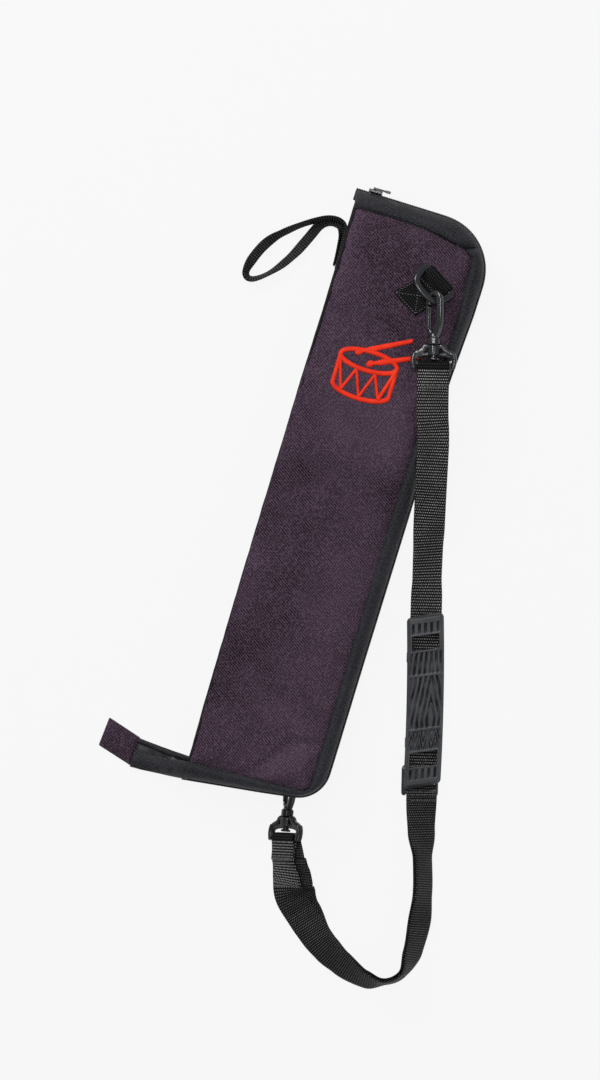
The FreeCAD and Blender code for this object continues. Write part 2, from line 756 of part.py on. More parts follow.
# ---------------------------------------------------------------- zip slider and pull

SLIDER_X = 13
RIM_TOP = RIM[-1][1]
slider_length, slider_half = 11, 4.4
outer_plate = box(-slider_length / 2, slider_length / 2, 0.7, 2.0, -slider_half, slider_half)
inner_plate = box(-slider_length / 2, slider_length / 2, -3.0, -1.9, -0.25, 0.25)
bridge = box(-slider_length / 2, 2.6 - slider_length / 2, -2.4, 1.2, -0.2, 0.2)
post_x, post_y, post_half = -1.5, 3.2, 0.95
post = Part.makeCylinder(0.9, 2 * post_half, Vector(post_x, post_y, -post_half), UP)
post = post.fuse(box(post_x - 0.9, post_x + 0.9, 1.9, post_y, -post_half, post_half))
slider = outer_plate.fuse(inner_plate).fuse(bridge).fuse(post).removeSplitter()
slider_place = Placement(Vector(SLIDER_X, RIM_TOP, MIDDLE), Rotation())
add_shape("zip_slider", slider, slider_place)

# The pull is a flat tongue whose two arms stand either side of the slider's post.
pull = doc.addObject("PartDesign::Body", "pull")
tongue = xy_sketch(pull, "pull_outline", -size("pull_width") / 2)
pull_end, pull_half = size("pull_length"), size("pull_ply") / 2
sketch_rectangle(tongue, 1.4, pull_end, -pull_half, pull_half)
pad_up(pull, tongue, "pull_pad", "sizes.pull_width")
arm_gap = post_half + 0.35
for number, low in enumerate((-size("pull_width") / 2, arm_gap)):
    arm = xy_sketch(pull, f"pull_arm_{number}", low)
    sketch_rectangle(arm, -0.8, 2.2, -pull_half, pull_half)
    pad_up(pull, arm, f"pull_arm_pad_{number}", f"sizes.pull_width / 2 - {arm_gap}")
pull_place = Placement(slider_place.multVec(Vector(post_x, post_y, 0)), Rotation())
add(pull, "zip_pull", pull_place)

# ---------------------------------------------------------------- zip tail beyond the spine

TAIL_BACK = [(-5.2, 10.5, -13.5, 4.5), (-14, 8.5, -14.5, 5.5), (-28, 5.5, -15, 6), (-43, 2.8, -15.2, 6.6)]


def tail_layer(rise, low_shift, high_shift):
    """One layer of the tail: rows of (x, z, lower y, upper y) give its run down to the ground."""
    sections = []
    for x, z, low, high in TAIL_BACK:
        y0, y1 = low + low_shift, high + high_shift
        base = z - 1 + rise
        sections.append([Vector(x, y0, base), Vector(x, y1, base), Vector(x, y1, base + 1.1), Vector(x, y0, base + 1.1)])
    return ruled(sections)


add_shape("tail_back_band", tail_layer(0, 0, 0))
add_shape("tail_front_band", tail_layer(1.4, 0, -8))
tail_teeth = []
for x, z, low, high in TAIL_BACK:
    base = z - 1
    rows = [(low - 2.2, base + 0.2), (low - 0.3, base + 0.2), (low - 0.3, base + 2.2), (low - 2.2, base + 2.2)]
    tail_teeth.append([Vector(x, y, zz) for y, zz in rows])
add_shape("tail_zip_teeth", ruled(tail_teeth))
tab_low = [Vector(-43.4, -16.5, 0.4), Vector(-43.4, 7.6, 0.4), Vector(-72, 16.3, 0.4), Vector(-74, -7.6, 0.4)]
tab_high = [p + UP * 4.4 for p in tab_low]
add_shape("tail_tab", ruled([tab_low, tab_high]))

# ---------------------------------------------------------------- checks and export

doc.recompute()
os.makedirs("parts", exist_ok=True)
for thing in doc.Objects:
    if "Invalid" in thing.State or "Error" in thing.State:
        raise RuntimeError(f"{thing.Label} did not recompute: {thing.State}")
for thing in parts:
    if thing.Shape.isNull() or not thing.Shape.isValid() or not thing.Shape.Solids:
        raise RuntimeError(f"{thing.Label} has no valid shape")
for thing in parts:
    thing.Shape.exportStep(f"parts/{thing.Label}.step")
    b = thing.Shape.BoundBox
    print(
        f"{thing.Label:20s} {thing.Shape.Volume:9.0f} mm3  {len(thing.Shape.Solids)} solid  "
        f"x {b.XMin:.1f}..{b.XMax:.1f}  y {b.YMin:.1f}..{b.YMax:.1f}  z {b.ZMin:.1f}..{b.ZMax:.1f}"
    )
print(f"webbing: upper {upper_length:.0f}, lower {lower_length:.0f}, wrist loop {loop_length:.0f} mm")
print("upper collar", UPPER_COLLAR, "lower collar", LOWER_COLLAR, "back bar", bar_at, "catch", catch)
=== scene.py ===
"""Looks of the drum stick bag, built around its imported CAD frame. Lengths in the code are in
millimetres on the bag's own pattern axes (spine at x = 0, lower end at y = 0); at() turns them into
the frame's metres."""

import json
import math

import bmesh
import bpy
from mathutils import Matrix, Vector, noise
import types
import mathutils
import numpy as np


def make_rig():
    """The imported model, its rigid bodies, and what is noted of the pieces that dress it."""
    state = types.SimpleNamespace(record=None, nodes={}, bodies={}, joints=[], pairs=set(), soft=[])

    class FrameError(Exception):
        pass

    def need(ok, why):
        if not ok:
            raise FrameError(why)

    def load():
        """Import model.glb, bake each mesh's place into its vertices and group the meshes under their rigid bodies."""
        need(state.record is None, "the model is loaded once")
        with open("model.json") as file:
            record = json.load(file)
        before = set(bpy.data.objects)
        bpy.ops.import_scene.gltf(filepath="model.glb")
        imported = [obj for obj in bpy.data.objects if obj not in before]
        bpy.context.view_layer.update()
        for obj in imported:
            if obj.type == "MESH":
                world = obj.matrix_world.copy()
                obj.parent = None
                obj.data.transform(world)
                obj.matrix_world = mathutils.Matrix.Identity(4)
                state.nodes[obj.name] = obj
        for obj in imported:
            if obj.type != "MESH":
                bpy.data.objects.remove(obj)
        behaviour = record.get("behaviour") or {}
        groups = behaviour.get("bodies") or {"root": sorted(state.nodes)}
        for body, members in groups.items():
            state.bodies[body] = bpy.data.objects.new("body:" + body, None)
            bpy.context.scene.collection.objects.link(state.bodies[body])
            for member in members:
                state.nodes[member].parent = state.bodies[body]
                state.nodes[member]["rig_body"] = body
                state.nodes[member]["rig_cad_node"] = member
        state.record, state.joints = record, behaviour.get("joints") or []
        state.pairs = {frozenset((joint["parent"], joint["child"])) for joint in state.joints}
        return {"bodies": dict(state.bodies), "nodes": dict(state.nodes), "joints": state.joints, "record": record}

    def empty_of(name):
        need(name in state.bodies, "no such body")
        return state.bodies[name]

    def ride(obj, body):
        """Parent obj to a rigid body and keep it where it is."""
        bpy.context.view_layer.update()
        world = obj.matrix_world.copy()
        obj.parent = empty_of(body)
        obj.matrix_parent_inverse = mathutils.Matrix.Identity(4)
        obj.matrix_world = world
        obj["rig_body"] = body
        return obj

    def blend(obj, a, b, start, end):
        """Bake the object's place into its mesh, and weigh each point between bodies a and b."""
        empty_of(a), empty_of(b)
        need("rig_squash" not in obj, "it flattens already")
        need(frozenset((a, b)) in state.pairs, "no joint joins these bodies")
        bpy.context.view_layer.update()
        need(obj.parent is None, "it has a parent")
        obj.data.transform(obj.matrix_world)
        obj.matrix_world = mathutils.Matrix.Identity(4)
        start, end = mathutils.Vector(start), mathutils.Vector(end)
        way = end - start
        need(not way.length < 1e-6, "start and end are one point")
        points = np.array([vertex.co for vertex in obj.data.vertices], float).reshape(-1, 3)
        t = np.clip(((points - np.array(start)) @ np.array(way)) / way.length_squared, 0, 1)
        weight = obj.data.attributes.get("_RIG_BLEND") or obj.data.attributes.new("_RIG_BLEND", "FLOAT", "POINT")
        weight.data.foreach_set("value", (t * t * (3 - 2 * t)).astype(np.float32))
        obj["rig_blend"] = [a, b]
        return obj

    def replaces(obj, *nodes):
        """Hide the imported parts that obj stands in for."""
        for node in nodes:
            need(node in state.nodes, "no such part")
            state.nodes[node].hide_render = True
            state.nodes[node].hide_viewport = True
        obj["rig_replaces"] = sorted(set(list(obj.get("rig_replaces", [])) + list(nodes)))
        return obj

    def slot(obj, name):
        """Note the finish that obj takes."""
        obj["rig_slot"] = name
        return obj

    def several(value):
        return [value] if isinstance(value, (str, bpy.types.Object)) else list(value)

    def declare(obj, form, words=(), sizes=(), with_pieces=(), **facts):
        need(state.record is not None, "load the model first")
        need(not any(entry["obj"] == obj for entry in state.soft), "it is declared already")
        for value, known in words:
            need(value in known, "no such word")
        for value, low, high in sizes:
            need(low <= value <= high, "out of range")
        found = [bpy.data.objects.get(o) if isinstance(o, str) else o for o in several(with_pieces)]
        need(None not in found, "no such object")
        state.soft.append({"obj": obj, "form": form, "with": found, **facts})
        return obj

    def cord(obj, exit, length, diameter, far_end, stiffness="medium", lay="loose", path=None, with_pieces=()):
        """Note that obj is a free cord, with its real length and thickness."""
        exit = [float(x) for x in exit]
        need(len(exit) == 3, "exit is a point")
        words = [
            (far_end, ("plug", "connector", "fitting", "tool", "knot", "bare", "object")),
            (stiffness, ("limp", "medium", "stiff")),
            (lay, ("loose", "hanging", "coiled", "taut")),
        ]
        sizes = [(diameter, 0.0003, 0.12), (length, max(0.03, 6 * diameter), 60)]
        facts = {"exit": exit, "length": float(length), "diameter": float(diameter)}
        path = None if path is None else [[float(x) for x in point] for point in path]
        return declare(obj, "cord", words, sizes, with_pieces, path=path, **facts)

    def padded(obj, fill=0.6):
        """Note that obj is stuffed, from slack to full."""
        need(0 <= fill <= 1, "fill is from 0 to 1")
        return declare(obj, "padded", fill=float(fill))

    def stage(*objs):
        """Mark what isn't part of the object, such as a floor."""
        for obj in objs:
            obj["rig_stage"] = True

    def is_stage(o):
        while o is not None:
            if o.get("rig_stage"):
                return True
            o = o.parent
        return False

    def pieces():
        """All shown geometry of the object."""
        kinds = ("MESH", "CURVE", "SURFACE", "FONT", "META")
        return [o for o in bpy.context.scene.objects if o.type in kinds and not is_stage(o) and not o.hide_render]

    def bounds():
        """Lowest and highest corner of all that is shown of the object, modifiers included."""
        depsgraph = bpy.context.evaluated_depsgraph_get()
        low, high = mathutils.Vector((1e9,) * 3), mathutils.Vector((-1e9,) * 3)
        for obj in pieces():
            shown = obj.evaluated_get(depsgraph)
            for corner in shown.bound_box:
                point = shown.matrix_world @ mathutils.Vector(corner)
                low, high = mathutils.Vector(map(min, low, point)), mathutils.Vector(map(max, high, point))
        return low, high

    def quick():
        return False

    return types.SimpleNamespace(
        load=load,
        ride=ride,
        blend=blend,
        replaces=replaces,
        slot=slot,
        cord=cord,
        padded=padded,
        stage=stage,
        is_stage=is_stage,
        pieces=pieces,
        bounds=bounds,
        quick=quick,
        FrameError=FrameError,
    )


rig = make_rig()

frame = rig.load()
cad_box = [list(corner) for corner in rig.bounds()]

MM = 0.001
ORIGIN = Vector((50, 230, 0))
UP = Vector((0, 0, 1))
DEPTH = 34.0
MIDDLE = DEPTH / 2
LIFT_BACK, LIFT_FRONT = 17.0, 10.0


def at(x, y, z=0.0):
    """A point on the pattern axes, in millimetres, as a frame point in metres."""
    return (Vector((x, y, z)) - ORIGIN) * MM


def smooth(t):
    t = min(max(t, 0.0), 1.0)
    return t * t * (3 - 2 * t)


def mix(a, b, t):
    return a + (b - a) * t


def steps(value, table, ease=True):
    """Value at a place from (place, value) rows, eased or straight between them."""
    if value <= table[0][0]:
        return table[0][1]
    for (p0, v0), (p1, v1) in zip(table, table[1:]):
        if value <= p1:
            t = (value - p0) / (p1 - p0)
            return v0 + (v1 - v0) * (smooth(t) if ease else t)
    return table[-1][1]


# ---------------- camera, floor and light

ROLL = math.radians(16.5)
VIEW_CENTRE = at(33.9, 195.3)
VIEW_HEIGHT = 2.592
LENS, SENSOR = 108, 36

scene = bpy.context.scene
camera = bpy.data.objects.new("camera", bpy.data.cameras.new("camera"))
camera.data.lens = LENS
camera.data.sensor_fit = "VERTICAL"
camera.data.sensor_height = camera.data.sensor_width = SENSOR
camera.data.clip_end = 20
camera.location = (VIEW_CENTRE.x, VIEW_CENTRE.y, VIEW_HEIGHT)
camera.rotation_euler = (0, 0, ROLL)
scene.collection.objects.link(camera)
scene.camera = camera
scene.view_settings.view_transform = "Standard"


def area_light(name, place, side, power, colour):
    """A square lamp aimed at the middle of the bag."""
    data = bpy.data.lights.new(name, "AREA")
    data.shape = "RECTANGLE"
    data.size = data.size_y = side
    data.energy = power
    data.color = colour
    light = bpy.data.objects.new(name, data)
    light.location = place
    light.rotation_euler = (-Vector(place)).to_track_quat("-Z", "Y").to_euler()
    scene.collection.objects.link(light)


area_light("key", (-1.1, 1.0, 1.1), 0.8, 21, (1, 0.985, 0.97))
area_light("fill", (1.2, -0.5, 1.0), 1.0, 4, (0.97, 0.98, 1))
area_light("top", (-0.3, 0.42, 2.1), 0.3, 11, (1, 1, 1))
world = bpy.data.worlds.new("studio")
world.use_nodes = True
backdrop = world.node_tree.nodes["Background"].inputs
backdrop["Color"].default_value = (0.95, 0.96, 1, 1)
backdrop["Strength"].default_value = 0.3
scene.world = world

# ---------------- material helpers


class Value:
    """A node's output. Sums and products of values make further nodes."""

    def __init__(self, graph, socket):
        self.graph, self.socket = graph, socket

    def math(self, operation, other=0.0):
        return self.graph.node("ShaderNodeMath", 0, {0: self, 1: other}, operation=operation)

    def __add__(self, other):
        return self.math("ADD", other)

    def __sub__(self, other):
        return self.math("SUBTRACT", other)

    def __mul__(self, other):
        return self.math("MULTIPLY", other)

    def ramp(self, low, high):
        """0 to 1 as the value goes from low to high."""
        return self.graph.node("ShaderNodeMapRange", "Result", {"Value": self, "From Min": low, "From Max": high})

    def waves(self, pitch, shift=None):
        """0 to 1 across each thread of the given pitch, in metres or in UV units."""
        phase = self * (2 * math.pi / pitch)
        if shift is not None:
            phase = phase + shift
        return phase.math("SINE") * 0.5 + 0.5


class Graph:
    """Short words for building a material's nodes."""

    def __init__(self, name):
        self.material = bpy.data.materials.new(name)
        self.material.use_nodes = True
        self.tree = self.material.node_tree
        self.shader = self.tree.nodes["Principled BSDF"]

    def feed(self, node, inputs):
        """Links values to a node's inputs, and sets plain numbers and colours on them."""
        for key, value in inputs.items():
            if isinstance(value, Value):
                self.tree.links.new(value.socket, node.inputs[key])
            else:
                node.inputs[key].default_value = value

    def node(self, kind, output, inputs=None, **settings):
        made = self.tree.nodes.new(kind)
        for key, value in settings.items():
            setattr(made, key, value)
        self.feed(made, inputs or {})
        return Value(self, made.outputs[output])

    def place(self):
        return self.node("ShaderNodeTexCoord", "Object")

    def split(self, vector):
        """The first two numbers of a vector."""
        parts = self.node("ShaderNodeSeparateXYZ", "X", {0: vector})
        return parts, Value(self, parts.socket.node.outputs["Y"])

    def noise(self, scale, detail, roughness=0.5):
        inputs = {"Vector": self.place(), "Scale": scale, "Detail": detail, "Roughness": roughness}
        return self.node("ShaderNodeTexNoise", "Fac", inputs)

    def colours(self, share, dark, light):
        return self.node(
            "ShaderNodeMix", "Result", {"Factor": share, "A": dark, "B": light}, data_type="RGBA"
        )

    def surface(self, colour, roughness, specular, bump, depth, sheen=0.0, sheen_tint=(1, 1, 1)):
        """Sets up the shader: colour and bump are values, the rest plain numbers."""
        height = self.node("ShaderNodeBump", "Normal", {"Height": bump, "Distance": depth, "Strength": 1.0})
        self.feed(self.shader, {
            "Base Color": colour, "Roughness": roughness, "Specular IOR Level": specular, "Normal": height,
            "Sheen Weight": sheen, "Sheen Roughness": 0.45, "Sheen Tint": (*sheen_tint, 1),
        })
        return self.material


def rgba(colour):
    return (*colour, 1)


def cloth_material(
    name, dark, light, pitch, twill, roughness, patches, depth, grain=800, gloss=0.1, sheen=0.0, tint=(1, 1, 1)
):
    """Woven cloth from object coordinates: crossed threads, a twill step, speckle and soft patches."""
    graph = Graph(name)
    x, y = graph.split(graph.place())
    rib = (x * twill + y).waves(pitch)
    cross = (x - y * twill).waves(pitch * 0.8)
    weave = rib * (cross * 0.6 + 0.4)
    speckle = graph.noise(grain, 1).ramp(0.46, 0.57)
    broad = graph.noise(14, 3, 0.55).ramp(0.3, 0.72)
    share = (weave.ramp(0.2, 0.62) * 0.6 + speckle * 0.4) * (1 - 0.3 * patches) + broad * (0.3 * patches)
    colour = graph.colours(share, rgba(dark), rgba(light))
    return graph.surface(colour, roughness, gloss, weave + speckle * 0.5, depth, sheen, tint)


def webbing_material(name, dark, light, across, along, roughness=0.62):
    """Webbing from UVs in millimetres (U across, V along): rows of thread tops, each row shifted, each top given the
    light colour as a painted highlight.
    """
    graph = Graph(name)
    u, v = graph.split(graph.node("ShaderNodeUVMap", "UV"))
    row_number = v.math("DIVIDE", along).math("FLOOR")
    dots = v.waves(along) * u.waves(across, row_number * math.pi)
    fibre = graph.noise(2600, 2, 0.6)
    broad = graph.noise(45, 2).ramp(0.35, 0.7)
    # The weave of dots is real; the light colour on each thread top is a painted highlight.
    share = dots.ramp(0.4, 0.85) * (fibre * 0.5 + 0.5) * (broad * 0.35 + 0.65)
    colour = graph.colours(share, rgba(dark), rgba(light))
    return graph.surface(colour, roughness, 0.12, dots + fibre * 0.35, 0.0003)


def plastic_material(name, dark, light, roughness, grain=600, depth=0.00005, specular=0.5, metallic=0.0):
    """Moulded plastic, rubber or metal: slight colour drift, fine grain and scuffed sheen."""
    graph = Graph(name)
    colour = graph.colours(graph.noise(60, 3, 0.55).ramp(0.3, 0.75), rgba(dark), rgba(light))
    scuffed = graph.noise(140, 3, 0.6).ramp(0.35, 0.75) * 0.14 + (roughness - 0.07)
    graph.feed(graph.shader, {"Metallic": metallic})
    return graph.surface(colour, scuffed, specular, graph.noise(grain, 3, 0.6), depth)


def thread_material(name, dark, light):
    graph = Graph(name)
    fibre = graph.noise(1500, 3, 0.6)
    broad = graph.noise(120, 2).ramp(0.3, 0.7)
    colour = graph.colours(fibre * 0.6 + broad * 0.4, rgba(dark), rgba(light))
    return graph.surface(colour, 0.5, 0.15, fibre, 0.0001)


PANEL = cloth_material(
    "panel_twill", (0.001, 0.0003, 0.0009), (0.172, 0.11, 0.166), 0.0022, 0.7, 0.9, 1.0, 0.0008, 780
)
BAND = cloth_material(
    "band_grosgrain", (0.002, 0.0022, 0.003), (0.046, 0.046, 0.056), 0.0016, 0.1, 0.6, 0.8, 0.00025, 700, 0.2
)
LINING = cloth_material(
    "lining_taffeta", (0.012, 0.012, 0.013), (0.04, 0.04, 0.043), 0.0007, 0.0, 0.6, 0.5, 0.0001,
    sheen=0.2, tint=(0.9, 0.9, 1),
)
# A darker cloth for the spine: painted shade on the side that the key lamp lights most.
SPINE_PAINTED_SHADE_CLOTH = cloth_material(
    "spine_cloth_painted_shade", (0.001, 0.001, 0.0012), (0.022, 0.02, 0.024), 0.0014, 0.1, 0.8, 0.6, 0.0002, 700, 0.05
)
TAPE = cloth_material(
    "zip_tape", (0.01, 0.011, 0.012), (0.04, 0.043, 0.047), 0.0008, 0.0, 0.8, 0.3, 0.0001,
    sheen=0.15, tint=(0.9, 0.95, 1),
)
# The light colours of the webbings are painted highlights on the thread tops, brightest on the coarse webbing.
WEBBING_DARK = (0.004, 0.004, 0.0045)
WEBBING = webbing_material("webbing_ribbed", WEBBING_DARK, (0.72, 0.7, 0.69), 1.45, 2.3)
WEBBING_FINE = webbing_material("webbing_plain", WEBBING_DARK, (0.26, 0.255, 0.265), 1.6, 1.9)
# Black webbing for the ring patches and the wraps round the strap frames' bars; the same black is also the painted
# shadow in the strip at the band's upper corner.
VELVET = webbing_material("webbing_black_and_painted_shadow", (0.003, 0.003, 0.0035), (0.07, 0.068, 0.07), 1.9, 2.1, 0.85)
LOOP_WEB = webbing_material("webbing_narrow", WEBBING_DARK, (0.2, 0.2, 0.2), 1.4, 2.0)
PLASTIC = plastic_material("moulded_plastic", (0.005, 0.006, 0.0075), (0.017, 0.02, 0.023), 0.24, specular=0.75)
# A darker copy of the moulded plastic for the lower hook, its frame and the back ring: painted shade for hardware that
# lies in shadow.
PLASTIC_PAINTED_SHADE = plastic_material(
    "moulded_plastic_painted_shade", (0.004, 0.004, 0.005), (0.013, 0.0135, 0.016), 0.3, specular=0.45
)
RUBBER = plastic_material("pad_rubber", (0.02, 0.021, 0.023), (0.04, 0.042, 0.046), 0.5, 900, 0.00008)
TEETH = plastic_material("zip_coil", (0.008, 0.008, 0.009), (0.02, 0.02, 0.022), 0.4)
METAL = plastic_material("zip_black_metal", (0.02, 0.02, 0.022), (0.05, 0.05, 0.055), 0.28, 400, metallic=0.8)
BRIGHT = plastic_material("worn_metal", (0.5, 0.5, 0.5), (0.8, 0.8, 0.8), 0.25, 400, metallic=1.0)
RED = thread_material("red_thread", (0.7, 0.012, 0.004), (1.0, 0.055, 0.014))
STITCH = thread_material("grey_thread", (0.08, 0.08, 0.08), (0.28, 0.27, 0.26))
BLACK_STITCH = thread_material("black_thread", (0.008, 0.008, 0.009), (0.04, 0.04, 0.042))


def pad_material():
    """Moulded pad: the grooves are painted dark from the mesh's own groove attribute, a painted shade in the recesses.
    """
    graph = Graph("ribbed_rubber_painted_groove_shade")
    drift = graph.noise(70, 3, 0.55).ramp(0.3, 0.75)
    face = graph.colours(drift, (0.022, 0.023, 0.027, 1), (0.052, 0.054, 0.06, 1))
    groove = graph.node("ShaderNodeAttribute", "Fac", attribute_name="groove")
    # Painted shade: the deeper the groove, the nearer the colour to black.
    colour = graph.colours(groove, face, (0.004, 0.004, 0.005, 1))
    return graph.surface(colour, 0.46, 0.5, graph.noise(900, 3, 0.6), 0.00008)


PAD_RUBBER = pad_material()

# ---------------- mesh helpers


def mesh_piece(name, points, faces, material, uvs=None):
    """A smooth-shaded mesh object from points in metres."""
    data = bpy.data.meshes.new(name)
    data.from_pydata([tuple(p) for p in points], [], faces)
    data.validate()
    if uvs is not None:
        layer = data.uv_layers.new(name="UVMap")
        for loop in data.loops:
            layer.data[loop.index].uv = uvs[loop.vertex_index]
    data.materials.append(material)
    obj = bpy.data.objects.new(name, data)
    scene.collection.objects.link(obj)
    data.polygons.foreach_set("use_smooth", [True] * len(data.polygons))
    fix_normals(obj)
    return obj


def fix_normals(obj):
    shape = bmesh.new()
    shape.from_mesh(obj.data)
    bmesh.ops.recalc_face_normals(shape, faces=shape.faces)
    shape.to_mesh(obj.data)
    shape.free()


def apply_modifiers(obj):
    """Writes the object's modifiers into its mesh."""
    graph = bpy.context.evaluated_depsgraph_get()
    shaped = bpy.data.meshes.new_from_object(obj.evaluated_get(graph))
    obj.modifiers.clear()
    old = obj.data
    obj.data = shaped
    shaped.name = old.name
    bpy.data.meshes.remove(old)
    obj.data.polygons.foreach_set("use_smooth", [True] * len(obj.data.polygons))
    return obj


def subdivide(obj, levels=1):
    made = obj.modifiers.new("subdivision", "SUBSURF")
    made.levels = made.render_levels = levels
    return apply_modifiers(obj)


def bevel(obj, width, segments=2):
    made = obj.modifiers.new("bevel", "BEVEL")
    made.width = width
    made.segments = segments
    made.limit_method = "ANGLE"
    made.angle_limit = math.radians(35)
    return apply_modifiers(obj)


def ring_faces(rows, columns, closed=False):
    """Faces of a tube: rows of closed rings of points, capped unless the last row joins the first."""
    faces = []
    for i in range(rows if closed else rows - 1):
        j = (i + 1) % rows
        for k in range(columns):
            n = (k + 1) % columns
            faces.append((i * columns + k, i * columns + n, j * columns + n, j * columns + k))
    if not closed:
        faces.append(tuple(reversed(range(columns))))
        faces.append(tuple((rows - 1) * columns + k for k in range(columns)))
    return faces


def grid_faces(rows, columns):
    """Faces of a grid of points, row by row."""
    starts = [r * columns + c for r in range(rows - 1) for c in range(columns - 1)]
    return [(a, a + 1, a + 1 + columns, a + columns) for a in starts]


def sheet_faces(rows, columns):
    """Faces of a thick sheet: a grid of upper points, then the same of lower points, then the rim."""
    count = rows * columns
    faces = []
    for a, b, c, d in grid_faces(rows, columns):
        faces += [(a, b, c, d), (a + count, d + count, c + count, b + count)]
    rim = [*range(columns), *(r * columns + columns - 1 for r in range(1, rows))]
    rim += [(rows - 1) * columns + c for c in range(columns - 2, -1, -1)]
    rim += [r * columns for r in range(rows - 2, 0, -1)]
    faces += [(a, b, b + count, a + count) for a, b in zip(rim, rim[1:] + rim[:1])]
    return faces


def merged(parts):
    """Several (points, faces) shapes as one."""
    points, faces = [], []
    for found, shapes in parts:
        base = len(points)
        points += found
        faces += [tuple(base + k for k in face) for face in shapes]
    return points, faces


def tube(name, rings, material, closed=False):
    """A solid through rings of points in metres, each ring closed."""
    points = [p for ring in rings for p in ring]
    return mesh_piece(name, points, ring_faces(len(rings), len(rings[0]), closed), material)


def join(name, pieces):
    """Several mesh objects made into one."""
    with bpy.context.temp_override(
        active_object=pieces[0], selected_objects=pieces, selected_editable_objects=pieces, object=pieces[0]
    ):
        bpy.ops.object.join()
    pieces[0].name = name
    return pieces[0]


def finish_piece(obj, body, slot, replaces=()):
    """Says which body the piece rides on, its material slot and the CAD nodes it stands for."""
    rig.ride(obj, body)
    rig.slot(obj, slot)
    if replaces:
        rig.replaces(obj, *replaces)
    return obj


def vectors(*points):
    return [Vector(p) for p in points]


def wobble(x, y, z, scale, amount):
    """Repeatable soft unevenness."""
    return noise.noise(Vector((x, y, z)) / scale) * amount


# ---------------- the bag's surfaces

LIFT_ALONG = [(12, 1), (45, 0.85), (70, 0.5), (95, 0.15), (122, 0)]


def lift(x, y):
    """Share of the lift at the lower corner on the opening side, where the bag rests on its strap hook."""
    return steps(y, LIFT_ALONG) * min(max(x / 60, 0), 1)


def back_z(x, y):
    return LIFT_BACK * lift(x, y)


def front_z(x, y):
    return DEPTH + LIFT_FRONT * lift(x, y)


def zip_z(x, y):
    return (back_z(x, y) + front_z(x, y)) / 2


# Corners of the front panel's seam and of the zip's line, as x, y and corner radius, and steps per straight run.
SEAM = [(0, 2, 0), (96.8, 6.2, 7), (98.4, 240, 0), (103, 350, 0), (103.6, 400, 0), (101.5, 460, 9), (0, 460, 0)]
RIM = [
    (-2.5, -12.6, 0),
    (108.0, 3.0, 25),
    (110.6, 240, 0),
    (111.2, 350, 0),
    (114.6, 405, 0),
    (115.8, 473.4, 43),
    (-2.5, 475.0, 0),
]
RUNS = [32, 84, 40, 20, 10, 24]
TURNS = 24


def rounded(corners):
    """Points along a path of corners (x, y, radius), each run and each arc in equal steps."""
    stops = []
    for i, (x, y, radius) in enumerate(corners):
        here = Vector((x, y, 0))
        if radius == 0:
            stops.append([here])
            continue
        before = (Vector((*corners[i - 1][:2], 0)) - here).normalized()
        after = (Vector((*corners[i + 1][:2], 0)) - here).normalized()
        half = before.angle(after) / 2
        centre = here + (before + after).normalized() * (radius / math.sin(half))
        first = here + before * (radius / math.tan(half))
        sweep = math.pi - 2 * half
        side = 1 if before.cross(after).z < 0 else -1
        arc = []
        for k in range(TURNS + 1):
            turn = Matrix.Rotation(side * sweep * k / TURNS, 3, "Z")
            arc.append(centre + turn @ (first - centre))
        stops.append(arc)
    points = list(stops[0])
    for following, count in zip(stops[1:], RUNS):
        start = points[-1]
        points += [start + (following[0] - start) * (k / count) for k in range(1, count)]
        points += following
    return points


def relaxed(points):
    """The line with its kinks eased, its ends kept."""
    for _ in range(4):
        points = [points[0]] + [
            a * 0.25 + b * 0.5 + c * 0.25 for a, b, c in zip(points, points[1:], points[2:])
        ] + [points[-1]]
    return points


TOP_DIP = [(35, 0), (60, 1.0), (76, 3.8), (91, 7.2), (104, 9.5)]


def top_dip(x, y):
    """How far the panel's upper edge falls away from straight towards the opening side."""
    return steps(x, TOP_DIP, ease=False) * smooth((y - 425) / 30)


seam_line = relaxed(rounded(SEAM))
for spot in seam_line:
    spot.y -= top_dip(spot.x, spot.y)
rim_line = relaxed(rounded(RIM))

PANEL_LEFT = [(2, 0), (60, -1.0), (150, -1.6), (300, -1.2), (380, 0.4), (430, 1.3), (460, 1.5)]
PANEL_RIGHT = [(6, 96.8), (140, 98.2), (240, 98.6), (300, 100.4), (350, 102.9), (400, 103.4), (460, 101.5)]
CORNER_LOW, CORNER_HIGH = 7.0, 9.0


def corner_inset(distance, radius):
    if distance >= radius:
        return 0.0
    return radius - math.sqrt(max(radius**2 - (radius - distance) ** 2, 0))


def panel_point(u, t):
    """Place on a panel at shares across (0 spine, 1 opening side) and along (0 lower end)."""
    low, high = mix(2, 6.2, u), 460
    y = mix(low, high, t)
    left, right = steps(y, PANEL_LEFT), steps(y, PANEL_RIGHT)
    right -= corner_inset(y - low, CORNER_LOW) + corner_inset(high - y, CORNER_HIGH)
    x, distance = mix(left, right, u), min((right - left) * u, (right - left) * (1 - u), y - low, high - y)
    return x, y - top_dip(x, y), distance


def ridge(x, y, a, b, width, height):
    """A soft fold along a line from a to b."""
    p, q = Vector(a), Vector(b)
    along = q - p
    t = min(max((Vector((x, y)) - p).dot(along) / along.length_squared, 0), 1)
    away = (Vector((x, y)) - (p + along * t)).length
    return height * math.exp(-((away / width) ** 2)) * math.sin(math.pi * (0.12 + 0.76 * t))


